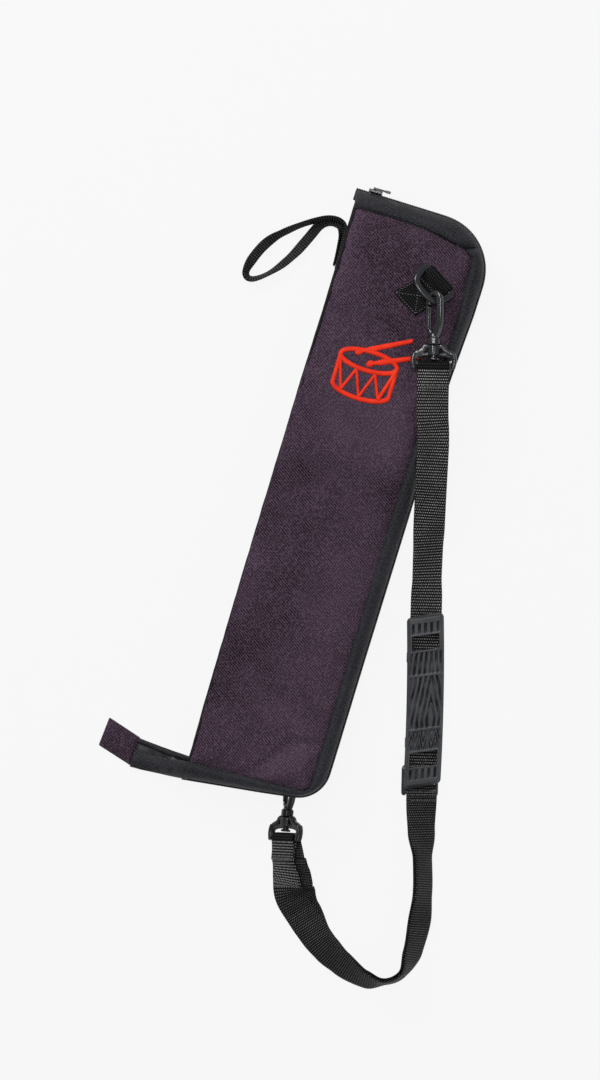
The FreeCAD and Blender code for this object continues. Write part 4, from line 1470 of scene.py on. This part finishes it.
def ring_piece(name, matrix, body, node, material=None):
    path = eased_path(eased_path(RING_CORNERS, True, 1), True, 2)
    ring = sweep(name, path, round_section(5.0, 3.4, 0.55), matrix, closed=True, material=material)
    return finish_piece(subdivide(ring, 1), body, "plastic", [node])


def patch_piece(name, matrix, body, node, length=PATCH_LENGTH, skew=0.0):
    """Folded webbing holding the ring's bar, box stitched to the panel."""
    bar = Vector((0, 0, BAR_HEIGHT))
    reach = WIRE / 2 + 0.35 + 0.6
    path = vectors((length, skew, 0.75), (8, 0, 0.75), (3.5, 0, 0.7))
    for k in range(13):
        turn = math.radians(-90 - 180 * k / 12)
        path.append(bar + Vector((math.cos(turn), 0, math.sin(turn))) * reach)
    path += vectors((3.5, 0, 5.2), (7.5, 0, 2.9), (10, 0, 2.05), (length, skew, 1.95))
    web = ribbon(name, path, (0, -1, 0), WEB, 1.15, VELVET, matrix=matrix)
    finish_piece(web, body, "webbing", [node])
    low, high, half = 10.5, length - 1.4, WEB / 2 - 1.3
    a, b, c, d = (
        (x, y + skew * (x - 9) / (length - 9), 2.55)
        for x, y in ((low, -half), (high, -half), (high, half), (low, half))
    )
    lines = [(line, UP) for line in ([a, b, c, d, a], [a, c], [b, d])]
    stitches(f"{name}_stitches", lines, STITCH, body, matrix, length=1.1, gap=1.2, radius=0.24)


FRONT_BAR, FRONT_REACH, HOOK_Z = Vector((81.2, 423.8, 0)), Vector((-0.518, -0.855, 0)), 44.0
front_patch_place = axes_at(FRONT_BAR + UP * (DEPTH + 0.1), FRONT_REACH, UP)
patch_piece("front_patch_web", front_patch_place, "front_cover", "ring_patch_front", 34.0, -4.5)
bar_z = DEPTH + 0.1 + BAR_HEIGHT
rise = HOOK_Z - bar_z
run = math.sqrt(RING_REACH**2 - rise**2)
front_ring_place = axes_at(FRONT_BAR + UP * bar_z, FRONT_REACH * run + UP * rise, UP)
ring_piece("front_ring", front_ring_place, "top_ring_and_hook", "d_ring_front")

catch = lower_hook @ Vector((37, 0, 0))
back_reach = Vector((-LOWER_ALONG[0], -LOWER_ALONG[1], 0)).normalized()
back_bar = Vector((catch.x, catch.y, 0)) - back_reach * (RING_REACH * 0.985)


BACK_LIFT = [(20, 1), (45, 0.85), (70, 0.5), (95, 0.15), (120, 0)]


def flat_back_z(x, y):
    """Height of the back under its ring's patch, in straight runs."""
    return LIFT_BACK * min(max(x / 60, 0), 1) * steps(y, BACK_LIFT, ease=False)


under = flat_back_z(back_bar.x, back_bar.y) - 0.6
slope = (flat_back_z(back_bar.x, back_bar.y + PATCH_LENGTH) - flat_back_z(back_bar.x, back_bar.y)) / PATCH_LENGTH
back_patch_place = axes_at((back_bar.x, back_bar.y, under), (-back_reach.x, -back_reach.y, slope), -UP)
patch_piece("back_patch_web", back_patch_place, "back_half", "ring_patch_back")
bar_at = back_patch_place @ Vector((0, 0, BAR_HEIGHT))
# The back ring takes the copy of the plastic with painted shade.
ring_piece("back_ring", axes_at(bar_at, catch - bar_at, UP), "back_half", "d_ring_back", PLASTIC_PAINTED_SHADE)

# ---------------- swivel hooks

HALF, CROWN_X = 5.8, 35.6
GATE_ROOT, GATE_TIP = 13.5, 31.0
HOOK_SIDE = [(5.5, 0, 0), (9.5, -2.8, 0), (14, -5.0, 0), (20, -5.9, 0), (28, -6.0, 0), (CROWN_X, -HALF, 0)]
NECK = [
    (-11.4, 2.0), (-11.4, 3.7), (-11, 4.0), (-10, 4.0), (-9.6, 3.6), (-9.6, 2.5), (0.6, 2.5),
    (0.6, 4.6), (1.0, 5.0), (5.6, 5.0), (6.2, 4.6), (6.6, 3.8), (9.5, 2.8), (10.5, 1.2),
]
BARREL = [(-7.8, 3.1), (-7.8, 4.6), (-7.2, 5.1), (-0.5, 5.1), (0.05, 4.7), (0.05, 3.1)]
SHOULDER = [(-0.4, 4.6), (-0.9, 7.2), (-3.4, 8.2), (-5.0, 10.4), (-6.2, 13.6), (-8.4, 15.4)]
EAR = [(-6.4, 15.0), (-9.5, 16.4), (-14, 16.5), (-18.4, 15.3)]
FRAME_BAR, FRAME_HALF = 15.5, 15.0


def hook_piece(name, matrix, body, node, material):
    """Collar, neck, fixed prong and crown in one moulding."""
    arc = []
    for k in range(1, 12):
        turn = math.pi * k / 12
        arc.append((CROWN_X + HALF * math.sin(turn), -HALF * math.cos(turn), 0))
    corners = [*HOOK_SIDE, *arc, (CROWN_X, HALF, 0), (GATE_TIP + 1.0, HALF, 0)]
    path = eased_path(corners, False, 2)
    scales = []
    for i in range(len(path)):
        t = i / (len(path) - 1)
        scales.append((mix(1.1, 0.9, smooth((t - 0.35) / 0.3)), mix(1.1, 0.8, smooth(t))))
    root = vectors((5.5, 0, 0), (9.5, 2.7, 0), (11.8, 4.4, 0))
    pieces = [
        sweep(name, path, round_section(4.9, 4.6, 0.5), matrix, scales=scales, material=material),
        sweep(f"{name}_root", root, round_section(4.6, 4.6, 0.5), matrix, material=material),
        lathe(f"{name}_neck", NECK, matrix, 10, material),
    ]
    return finish_piece(moulded(join(name, pieces)), body, "plastic", [node])


def gate_piece(name, matrix, body, node, material):
    """The sprung lever, with three ridges for the thumb."""
    corners = [(GATE_ROOT - 1.2, HALF - 0.35, 0), (GATE_ROOT + 3, HALF, 0), (24, HALF + 0.25, 0)]
    path = eased_path([*corners, (GATE_TIP - 0.4, HALF, 0)], False, 2)
    scales = [(mix(0.75, 1.0, smooth(4 * i / len(path))), 1) for i in range(len(path))]
    pieces = [sweep(name, path, round_section(4.3, 4.0, 0.5), matrix, scales=scales, material=material)]
    for x in (18.5, 20.5, 22.5):
        low, high = (x - 0.5, HALF + 1.4, -1.6), (x + 0.5, HALF + 2.7, 1.6)
        pieces.append(block(f"{name}_ridge", low, high, matrix, material))
    return finish_piece(moulded(join(name, pieces), 0.3 * MM), body, "plastic", [node])


def frame_piece(name, matrix, body, node, material):
    """Barrel, stepped shoulders, rounded side ears and the bar that carries the webbing."""
    loop = [(x, y, 0) for x, y in (
        (-7.0, -FRAME_HALF), (-FRAME_BAR, -FRAME_HALF), (-FRAME_BAR, FRAME_HALF), (-7.0, FRAME_HALF)
    )]
    pieces = [
        sweep(name, eased_path(loop, True, 2), round_section(3.6, 3.8, 0.4), matrix, True, None, material),
        lathe(f"{name}_barrel", BARREL, matrix, 10, material),
    ]
    for side in (-1, 1):
        for corners, rounds, section in (
            (SHOULDER, 1, round_section(4.4, 5.0, 0.4)), (EAR, 2, round_section(3.6, 6.2, 0.5))
        ):
            path = eased_path([(x, side * y, 0) for x, y in corners], False, rounds)
            pieces.append(sweep(f"{name}_side", path, section, matrix, material=material))
    return finish_piece(moulded(join(name, pieces)), body, "plastic", [node])


def fold_piece(name, matrix, body, node, under):
    """Strap end wrapped round the frame's bar and sewn to itself."""
    bar, reach = FRAME_BAR, WIRE / 2 + 0.35 + 0.65
    half = [(-FOLD_REACH - 2.0, 0.72), (-FOLD_REACH + 6, 0.95), (-bar - 6, 1.7), (-bar - 2, 2.6)]
    path = vectors(*((x, 0, z) for x, z in half))
    for k in range(13):
        turn = math.radians(90 - 180 * k / 12)
        path.append(Vector((-bar + reach * math.cos(turn), 0, reach * math.sin(turn))))
    path += vectors(*((x, 0, -z) for x, z in reversed(half)))
    web = ribbon(name, path, (0, 1, 0), WEB, 1.2, WEBBING, matrix=matrix)
    web.data.materials.append(VELVET)
    away = matrix.inverted()
    for face in web.data.polygons:
        if (away @ (face.center / MM + ORIGIN)).x > -bar - 3:
            face.material_index = 1
    if under:
        path = vectors((-FOLD_REACH - 4, -11.5, -3.4), (-bar - 9, -6.6, -3.2), (-bar - 1.5, -3.4, -2.8))
        ply = ribbon(f"{name}_under", path, (0, 1, 0), WEB - 1, 1.2, WEBBING_FINE, matrix=matrix)
        web = join(name, [web, ply])
    finish_piece(web, body, "webbing", [node])
    rows = []
    for x in (-FOLD_REACH - 0.6, -FOLD_REACH + 1.2):
        rows.append(([(x, 2 - WEB / 2, 1.75), (x, WEB / 2 - 2, 1.75)], UP))
    stitches(f"{name}_stitches", rows, STITCH, body, matrix, length=1.6, gap=0.7, radius=0.28)


# The lower hook and frame take the copy of the plastic with painted shade.
for end, hook_place, frame_place, hook_body, finish in (
    ("upper", upper_hook, upper_frame, "top_ring_and_hook", PLASTIC),
    ("lower", lower_hook_drawn, lower_frame_drawn, "lower_hook", PLASTIC_PAINTED_SHADE),
):
    hook_piece(f"{end}_hook", hook_place, hook_body, f"snap_hook_{end}", finish)
    gate_piece(f"{end}_gate", hook_place, f"{end}_gate", f"hook_gate_{end}", finish)
    frame_piece(f"{end}_frame", frame_place, f"{end}_strap_frame", f"strap_frame_{end}", finish)
    fold_piece(f"{end}_fold_web", frame_place, f"{end}_strap_frame", f"strap_fold_{end}", end == "lower")

fold_mark = lower_length - COARSE_RUN
end_rows = strap_rows("lower_end_stitches", [fold_mark + 1.5, fold_mark + 3.8, fold_mark + 6.1])
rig.blend(end_rows, "lower_hook", "lower_strap_frame", start=cut_d, end=lower_line[-1])
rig.ride(strap_rows("glide_end_stitches", [6.0, 8.2, 12.5]), "back_half")

# ---------------- shoulder pad and slide adjuster

# The straight run of strap that the pad and the adjuster slide along.
STRAP_ALONG = Vector((0.2634, -0.9647, 0))
PAD_MIDDLE = Vector((165.7, 99.1, 0))
pad_place = axes_at(PAD_MIDDLE - STRAP_ALONG * 1.5, STRAP_ALONG, UP)
PAD_HALF, PAD_WIDE, PAD_LOW, PAD_TOP = 68.5, 14.75, 6.2, 10.6
WINDOW_AT, WINDOW_X, WINDOW_Y = 46.5, 6.0, 11.0
BAR_AT = (-20.5, 22.5)


def pad_bend(x):
    """The pad lies in a slight sideways curve."""
    return 1.3 * (1 - (x / PAD_HALF) ** 2) - 0.6


PAD_SKEW = 0.16
RIDGE_AXIS = 4.6


def zigzag(t):
    t = t % 1.0
    return 4 * t - 1 if t < 0.5 else 3 - 4 * t


def pad_height(x, y):
    """Height of the pad's top, and how deep in a groove the point is."""
    edge = min(PAD_HALF - abs(x), PAD_WIDE - abs(y))
    z = PAD_TOP - 2.4 * (1 - smooth(edge / 3.2)) ** 1.5
    inside = smooth((edge - 0.8) / 1.4)
    window = max(abs(abs(x) - WINDOW_AT) - WINDOW_X, abs(y) - WINDOW_Y)
    if window < 1.3:
        return z + 0.35 * inside, 0.0
    if abs(x) > PAD_HALF - 6.5:
        return z + 0.1, 0.0
    bar = min(abs(x - place) for place in BAR_AT)
    if bar < 0.9:
        return z + 0.25 * inside, 0.0
    if abs(x) > WINDOW_AT + WINDOW_X:
        phase = y / 4.9
        narrow = 0.5
    elif x < BAR_AT[1]:
        slant = 0.1 if x < BAR_AT[0] else 0.15
        phase = (abs(y - RIDGE_AXIS) - slant * x + wobble(x, y / 3, 7, 11, 1.6)) / 3.9
        narrow = 0.42
    else:
        phase = (7.0 * zigzag(y / 6.4 + 0.1) + x) / 8.5
        narrow = 0.38
    groove = abs(2 * (phase % 1.0) - 1)
    depth = smooth((groove - narrow) / 0.42) * smooth((bar - 0.9) / 0.8) * smooth((edge - 1.4) / 1.4)
    depth *= min(1, 0.72 + wobble(x / 2.5, y, 17, 3.2, 0.8))
    depth *= smooth((window - 1.3) / 1.2)
    return z - 1.8 * depth, depth


KEEPER_AT = (-34.0, 34.0)


def pad_piece():
    """The ribbed pad with its two windows, and the keepers that hold the strap under it."""
    columns, rows = 69, 291
    xs = [mix(-PAD_HALF, PAD_HALF, r / (rows - 1)) for r in range(rows)]
    ys = [mix(-1, 1, c / (columns - 1)) * PAD_WIDE for c in range(columns)]
    count = rows * columns
    top, bottom, faces, depths, edges = [], [], [], [], {}
    for x in xs:
        wide = PAD_WIDE - corner_inset(PAD_HALF - abs(x), 4.0)
        for y in ys:
            z, depth = pad_height(x, y)
            px, py = x - PAD_SKEW * y, y * wide / PAD_WIDE
            top.append(pad_place @ Vector((px, py + pad_bend(px), z)))
            bottom.append(pad_place @ Vector((px, py + pad_bend(px), PAD_LOW + 0.05)))
            depths.append(depth)
    for corners in grid_faces(rows, columns):
        quad = (corners[0], *reversed(corners[1:]))
        r, c = divmod(quad[0], columns)
        x, y = (xs[r] + xs[r + 1]) / 2, mix(-1, 1, (c + 0.5) / (columns - 1)) * PAD_WIDE
        if abs(abs(x) - WINDOW_AT) < WINDOW_X and abs(y) < WINDOW_Y:
            continue
        faces += [quad, tuple(count + k for k in reversed(quad))]
        edges.update(dict.fromkeys(zip(quad, quad[1:] + quad[:1])))
    faces += [(q, p, p + count, q + count) for p, q in edges if (q, p) not in edges]
    piece = mesh_piece("ribbed_pad", [at(*p) for p in top + bottom], faces, PAD_RUBBER)
    # The groove depth also drives the painted shade in the pad's material.
    groove = piece.data.attributes.new("groove", "FLOAT", "POINT")
    groove.data.foreach_set("value", depths + [0.0] * count)
    shape = bmesh.new()
    shape.from_mesh(piece.data)
    bmesh.ops.delete(shape, geom=[v for v in shape.verts if not v.link_faces], context="VERTS")
    shape.to_mesh(piece.data)
    shape.free()
    keepers = []
    for x in KEEPER_AT:
        bend = pad_bend(x)
        for low, high in (
            ((x - 4, -14.4 + bend, 0.4), (x + 4, 14.4 + bend, 1.2)),
            ((x - 4, 13.4, 0.4), (x + 4, 14.6, 6.6)),
            ((x - 4, -14.6, 0.4), (x + 4, -13.4, 6.6)),
        ):
            keepers.append(bevel(block("keeper", low, high, pad_place, PAD_RUBBER), 0.3 * MM))
    finish_piece(join("ribbed_pad", [piece, *keepers]), "pad", "pad_rubber", ["shoulder_pad"])


pad_piece()

GLIDE_MIDDLE, GLIDE_OFF, GLIDE_HALF = 60.5, -1.8, 10.0
glide_place = axes_at(PAD_MIDDLE + STRAP_ALONG * GLIDE_MIDDLE, STRAP_ALONG, UP)
glide_place = glide_place @ Matrix.Translation((0, GLIDE_OFF, 0))
glide_parts = []
rail = [
    (-GLIDE_HALF, 0.3, 0.4), (1.4 - GLIDE_HALF, 0.8, 0.9), (3 - GLIDE_HALF, 1, 1), (GLIDE_HALF + 1, 1, 1),
    (GLIDE_HALF + 2.8, 0.95, 1), (GLIDE_HALF + 4.2, 0.4, 0.5),
]
for y, width in ((13.2, 2.8), (-12.8, 4.4)):
    ends = vectors(*((x, y, 3.15) for x, _, _ in rail))
    sizes = [row[1:] for row in rail]
    glide_parts.append(sweep("glide", ends, round_section(width, 5.2, 0.5), glide_place, scales=sizes))
for low, high in (
    ((0.6 - GLIDE_HALF, -12.4, 4.8), (3.6 - GLIDE_HALF, 14.0, 5.6)),
    ((GLIDE_HALF - 1.0, -12.4, 4.8), (GLIDE_HALF + 2.4, 14.0, 5.6)),
    ((-1.8, -12.4, 0.5), (1.8, 14.0, 1.0)),
):
    glide_parts.append(block("glide", low, high, glide_place))
glide = moulded(join("slide_frame", glide_parts), 0.3 * MM)
finish_piece(glide, "adjuster", "plastic", ["slide_adjuster"])

# ---------------- embroidered mark

MARK_AT = (50.5, 342)
MARK_STEP = 0.42


def on_front(x, y):
    """Height of the front panel as drawn."""
    hit, place, _, _ = front_panel.ray_cast(at(x, y, 90), Vector((0, 0, -1)))
    return place.z / MM if hit else front_surface(x, y)


bpy.context.view_layer.update()


def satin(path, widths):
    """A satin-stitched stroke: a raised band whose cross threads show. Returns points, faces."""
    points = []
    rows = resampled([Vector((*p, 0)) for p in path], MARK_STEP / 2)
    columns = 7
    for i, (p, along) in enumerate(rows):
        along = (along + rows[min(i + 3, len(rows) - 1)][1] + rows[max(i - 3, 0)][1]).normalized()
        side = (Vector((-along.y, along.x, 0)) + along * 0.25).normalized()
        half = steps(i / max(len(rows) - 1, 1), widths, ease=False) / 2
        thread = 0.1 if i % 2 else -0.1
        ragged = 0.14 if i % 4 < 2 else 0.0
        for c in range(columns):
            share = 2 * c / (columns - 1) - 1
            reach = share * (half + ragged)
            rise = (0.75 * (1 - abs(share) ** 3) + thread) if 0 < c < columns - 1 else 0.05
            x, y = MARK_AT[0] + (p.x + side.x * reach), MARK_AT[1] + (p.y + side.y * reach)
            points.append(at(x, y, on_front(x, y) + rise))
    return points, grid_faces(len(rows), columns)


def oval(cx, cy, rx, ry, start=0.0, count=60):
    """An ellipse from a start angle round to 360 degrees."""
    turns = [math.radians(mix(start, 360, k / count)) for k in range(count + 1)]
    return [(cx + rx * math.cos(turn), cy + ry * math.sin(turn)) for turn in turns]


def mark_strokes():
    """A plain drum seen from slightly above with two sticks laid across its head."""
    wide, cx, top, foot = 23.0, -4.5, 4.0, -19.0
    bend = 7.6
    strokes = [
        (oval(cx, top, wide, bend), [(0, 3.8), (1, 3.8)]),
        (oval(cx, foot, wide, bend, 180), [(0, 3.8), (1, 3.8)]),
        ([(cx - wide, top), (cx - wide, foot)], [(0, 3.4), (1, 3.4)]),
        ([(cx + wide, top), (cx + wide, foot)], [(0, 3.4), (1, 3.4)]),
    ]
    zigs = 6
    for k in range(zigs):
        a, b = mix(-1, 1, k / zigs), mix(-1, 1, (k + 1) / zigs)
        ends = []
        for share, low in ((a, k % 2 == 1), (b, k % 2 == 0)):
            dip = bend * math.sqrt(max(1 - share * share, 0))
            ends.append((cx + wide * share, (foot if low else top) - dip + (1.5 if low else -1.5)))
        strokes.append((ends, [(0, 2.4), (1, 2.4)]))
    stick = [(0, 3.4), (0.72, 4.6), (0.86, 2.8), (0.9, 5.4), (0.97, 5.0), (1, 1.2)]
    strokes.append(([(24, 29), (-17, 7.5)], stick))
    strokes.append(([(33, 18), (-6, 1.0)], stick))
    return strokes


mark = mesh_piece("embroidered_drum", *merged(satin(*stroke) for stroke in mark_strokes()), RED)
thick = mark.modifiers.new("thick", "SOLIDIFY")
thick.thickness = 0.0004
thick.offset = -1
apply_modifiers(mark)
finish_piece(mark, "front_cover", "thread", ["embroidered_badge"])

# ---------------- zip slider and pull

RIM_TOP = 476.8
slider_place = Matrix.Translation(Vector((13, RIM_TOP, MIDDLE)))
SLIDER_BLOCKS = {
    "slider_outer": ((-5.5, 0.7, -4.2), (5.5, 1.9, 4.2)),
    "slider_lip_a": ((-5.5, -0.4, 3.5), (5.5, 1.9, 4.4)),
    "slider_lip_b": ((-5.5, -0.4, -4.4), (5.5, 1.9, -3.5)),
    "slider_inner": ((-5.3, -3.0, -0.25), (5.3, -1.9, 0.25)),
    "slider_bridge": ((-5.5, -2.6, -0.25), (-3.0, 1.2, 0.25)),
    "slider_post": ((-2.4, 1.8, -0.95), (-0.6, 4.1, 0.95)),
}
PULL_BLOCKS = {
    "pull_tongue": ((1.4, -0.6, -2.75), (13, 0.6, 2.75)),
    "pull_arm_a": ((-0.8, -0.6, -2.75), (2.2, 0.6, -1.3)),
    "pull_arm_b": ((-0.8, -0.6, 1.3), (2.2, 0.6, 2.75)),
    "pull_grip": ((9.0, -0.9, -2.9), (13.2, 0.9, 2.9)),
}


def metal_piece(name, blocks, place, body, node):
    parts = [block(part, low, high, place, METAL) for part, (low, high) in blocks.items()]
    finish_piece(moulded(join(name, parts), 0.18 * MM, 2), body, "zip_metal", [node])


metal_piece("zip_slider_body", SLIDER_BLOCKS, slider_place, "slider", "zip_slider")
rivet_profile = [(-0.95, 0.0), (-0.95, 1.1), (-0.5, 1.45), (0.5, 1.45), (0.95, 1.1), (0.95, 0.0)]
rivet_place = slider_place @ Matrix.Translation(Vector((2.4, 2.3, 0.0))) @ Matrix.Rotation(math.pi / 2, 4, "Z")
rivet = bevel(lathe("slider_rivet", rivet_profile, rivet_place, 16, BRIGHT), 0.2 * MM)
finish_piece(rivet, "slider", "zip_metal")
pull_place = Matrix.Translation(slider_place @ Vector((-1.5, 3.2, 0)))
metal_piece("zip_pull_tab", PULL_BLOCKS, pull_place, "pull", "zip_pull")

# ---------------- zip tail beyond the spine

TAIL_STATIONS = 46


def tail_rings(rows, ply, wave):
    """Rings of a soft strip from (x, upper y, lower y, top z, lower z, roundness) rows. A row with no
    roundness has the band's own section, so the strip carries on from it."""
    rings = []
    xs = [row[0] for row in rows]
    for k in range(TAIL_STATIONS):
        x = mix(xs[0], xs[-1], k / (TAIL_STATIONS - 1))
        y_up, y_low, z_top, z_low, roundness = (
            steps(-x, [(-row[0], row[n]) for row in rows], ease=n != 1) for n in range(1, 6)
        )
        outer, inner = [], []
        for share, height in BAND_PROFILE:
            t = min(max(share, 0), 1)
            arch = 0.25 + 0.75 * math.sin(math.pi * mix(0.06, 0.97, t)) ** 0.7
            y = mix(y_up, y_low, share)
            z = mix(z_low, z_top, mix(height, arch, roundness))
            z += wobble(x, y, wave, 8, 1.4) * math.sin(math.pi * t) * smooth(-x / 8)
            outer.append(at(x, y, max(z, 0.5 + ply)))
            inner.append(at(x, mix(y, (y_up + y_low) / 2, 0.08), max(z - ply, 0.45)))
        rings.append(outer + list(reversed(inner)))
    return rings


FRONT_TAIL = [
    (3.0, 2.0, -12.7, 32.6, 18.4, 0),
    (-2.5, 1.6, -13.2, 31.0, 17.2, 0.03),
    (-6.0, 1.0, -13.5, 28.0, 14.6, 0.12),
    (-13.0, -0.6, -14.2, 20.5, 9.6, 0.45),
    (-24.0, -2.2, -14.9, 12.5, 5.6, 0.9),
    (-36.0, -2.6, -15.3, 9.4, 4.2, 1),
    (-45.5, -2.6, -15.6, 7.4, 3.0, 1),
]
BACK_TAIL = [
    (1.0, 5.2, 1.0, 16.0, 12.5, 1),
    (-13.0, 5.2, 0.6, 9.4, 6.6, 1),
    (-24.0, 5.6, 0.8, 6.4, 4.0, 1),
    (-36.0, 6.4, 2.2, 5.2, 2.8, 1),
    (-45.5, 7.2, 2.8, 4.6, 2.2, 1),
]
SLIT_TAIL = [
    (1.0, 4.4, -12.6, 12.6, 11.0, 0.6),
    (-13.0, 4.6, -13.6, 7.2, 6.0, 0.6),
    (-24.0, 5.0, -14.2, 4.2, 3.2, 0.6),
    (-45.5, 6.4, -15.0, 2.6, 1.8, 0.6),
]
tail_front = subdivide(tube("tail_front_strip", tail_rings(FRONT_TAIL, 1.1, 70), BAND), 1)
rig.slot(tail_front, "band_fabric")
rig.replaces(tail_front, "tail_front_band")
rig.blend(tail_front, "front_cover", "back_half", start=at(-1.0, -6, 20), end=at(-22, -6, 20))
tail_back = subdivide(tube("tail_back_strip", tail_rings(BACK_TAIL, 1.0, 90), BAND), 1)
finish_piece(tail_back, "back_half", "band_fabric", ["tail_back_band"])
tail_tape = subdivide(tube("tail_zip_tape", tail_rings(SLIT_TAIL, 0.6, 95), TEETH), 1)
finish_piece(tail_tape, "back_half", "band_fabric")

TAIL_LINE = [(-3.5, -12.6, 15.6), (-13, -14.0, 8.4), (-24, -14.9, 5.4), (-36, -16.0, 3.6), (-45, -16.2, 2.6)]


def tail_teeth(name, shift, rise_by, replaces):
    outward = Vector((0, -1, 0))
    spots = [
        (place + UP * rise_by - outward * 0.4, along, outward)
        for place, along in resampled([Vector(p) for p in TAIL_LINE], TOOTH_PITCH, shift)
    ]
    teeth_piece(name, spots, "back_half", replaces)


tail_teeth("tail_row_front", 0.5, 1.0, ["tail_zip_teeth"])
tail_teeth("tail_row_back", 0.5 + TOOTH_PITCH / 2, -0.7, [])

TAB = [(-43.4, 7.6), (-72, 16.3), (-74, -7.6), (-43.4, -16.5)]


def tab_piece():
    """The folded cloth end that closes the tail."""
    size = 15
    top, low = [], []
    for r in range(size):
        for c in range(size):
            u, v = c / (size - 1), r / (size - 1)
            near = Vector(TAB[0]).lerp(Vector(TAB[3]), v)
            far = Vector(TAB[1]).lerp(Vector(TAB[2]), v)
            p = near.lerp(far, u)
            edge = min(u * 28, (1 - u) * 28, v * 24, (1 - v) * 24)
            height = 2.7 + 2.0 * smooth(edge / 3.5) + wobble(p.x, p.y, 4, 11, 0.6) * smooth(edge / 4)
            height += 0.9 * smooth(1 - abs(u * 28 - 3) / 2.2) * smooth(edge / 1.5)
            top.append(at(p.x, p.y, height))
            low.append(at(p.x, p.y, 0.45 + 1.1 * (1 - smooth(edge / 2.5))))
    piece = subdivide(mesh_piece("tail_end_tab", top + low, sheet_faces(size, size), PANEL), 2)
    return finish_piece(piece, "back_half", "panel_fabric", ["tail_tab"])


tab_piece()
stitches(
    "tail_tab_stitches", [([(-46.6, 6.8, 4.9), (-46.6, -14.6, 4.9)], UP)], BLACK_STITCH, "back_half",
    Matrix.Identity(4), 2.0, 0.9, 0.25,
)

# ---------------- wrist loop's sewn end

tab_path = vectors((-0.4, 411.0, 7.7), (-0.7, 416, 7.7), (-0.9, 440, 7.9), (-0.8, 446, 7.7))
tab_web = ribbon("wrist_loop_sewn_end", tab_path, UP, 9.0, 1.7, LOOP_WEB, 1.7, 0.1)
finish_piece(tab_web, "back_half", "webbing", ["wrist_loop_tab"])

# ---------------- pockets inside

POUCH_X, POUCH_Y, POUCH_Z = (10.0, 92.0), (124.0, 300.0), (4.6, 21.6)


def pouch_line(y, inset):
    """Places across the pouch's front cloth, which bows out between its sewn channels."""
    closing = smooth((y - POUCH_Y[0]) / 22)
    for n in range(33):
        t = n / 32
        x = mix(POUCH_X[0] + inset, POUCH_X[1] - inset, t)
        channel = abs(math.sin(math.pi * t * 2)) ** 0.5
        arch = math.sin(math.pi * t) ** 0.35
        rise = (POUCH_Z[1] - POUCH_Z[0]) * arch * mix(0.25, 1, closing) * mix(0.86, 1, channel)
        yield x, POUCH_Z[0] + rise + wobble(x, y, 12, 20, 0.5) * arch


def pouch_piece():
    """A soft stick pouch, open at its bound upper end."""
    rings, hem_rings = [], []
    for k in range(70):
        y = mix(*POUCH_Y, k / 69)
        line = [(x, z - 0.6) for x, z in pouch_line(y, 0.4)]
        outer = [at(x, y, z) for x, z in line]
        inner = [at(mix(x, 51, 0.025), y, max(z - 0.9, POUCH_Z[0] + 0.1)) for x, z in line]
        rings.append(outer + inner[::-1])
    for k in range(7):
        y = mix(POUCH_Y[1] - 8.5, POUCH_Y[1] + 0.4, k / 6)
        thick = 0.75 * (1 - (k / 3 - 1) ** 6 * 0.5)
        line = [(x, z - 0.5) for x, z in pouch_line(y, 0.6)]
        hem_rings.append([at(x, y, z + thick) for x, z in line] + [at(x, y, z) for x, z in line[::-1]])
    piece = subdivide(tube("stick_pouch_cloth", rings, LINING), 1)
    finish_piece(piece, "back_half", "lining", ["stick_pouch"])
    hem = subdivide(tube("stick_pouch_binding", hem_rings, WEBBING_FINE), 1)
    finish_piece(hem, "back_half", "lining", ["stick_pouch_hem"])


pouch_piece()


def slip_pocket():
    """A flat pocket on the front lining, its mouth bound, bowed a little off the lining."""
    size = 21
    top, low = [], []
    for r in range(size):
        for c in range(size):
            x, y = mix(18, 84, c / (size - 1)), mix(330, 410, r / (size - 1))
            edge = min(x - 18, 84 - x, y - 330)
            z = DEPTH - 4.3 - 1.2 * smooth(edge / 8) + wobble(x, y, 33, 14, 0.3) * smooth(edge / 6)
            bound = 0.5 if y > 403 else 0
            top.append(at(x, y, z - bound))
            low.append(at(x, y, z + 0.6))
    piece = subdivide(mesh_piece("slip_pocket_cloth", top + low, sheet_faces(size, size), LINING), 1)
    finish_piece(piece, "front_cover", "lining", ["key_pocket"])
    edge_line = [(19.5, 408.5, 28.1), (19.5, 331.5, 29.2), (82.5, 331.5, 29.2), (82.5, 408.5, 28.1)]
    stitches(
        "slip_pocket_stitches", [(edge_line, -UP)], STITCH, "front_cover", Matrix.Identity(4), 2.2, 1.0, 0.25
    )


slip_pocket()

# ---------------- floor

FLOOR_HALF = 6.0
floor_mesh = bpy.data.meshes.new("floor")
corners = [(x * FLOOR_HALF, y * FLOOR_HALF, 0) for x, y in ((-1, -1), (1, -1), (1, 1), (-1, 1))]
floor_mesh.from_pydata(corners, [], [(0, 1, 2, 3)])
floor = bpy.data.objects.new("floor", floor_mesh)
scene.collection.objects.link(floor)
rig.stage(floor)
paper = Graph("paper")
paper.feed(paper.shader, {
    "Base Color": (0.04, 0.04, 0.04, 1), "Roughness": 1.0, "Specular IOR Level": 0.0,
    "Emission Color": (0.935, 0.935, 0.94, 1), "Emission Strength": 0.96,
})
floor_mesh.materials.append(paper.material)

# ---------------- materials of the imported parts, and the extents file

CAD_MATERIALS = {
    "panel_fabric": PANEL,
    "band_fabric": BAND,
    "lining": LINING,
    "foam": LINING,
    "zip_teeth": TEETH,
    "webbing": WEBBING_FINE,
    "plastic": PLASTIC,
    "pad_rubber": RUBBER,
    "zip_metal": METAL,
    "thread": RED,
}
slots = {row["node"]: row["material_slot"] for row in frame["record"]["subparts"]}
for label, node in frame["nodes"].items():
    for holder in node.material_slots:
        holder.material = CAD_MATERIALS[slots[label]]

visual_box = [list(corner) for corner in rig.bounds()]
with open("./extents.json", "w") as out:
    json.dump({"cad": cad_box, "visual": visual_box}, out)
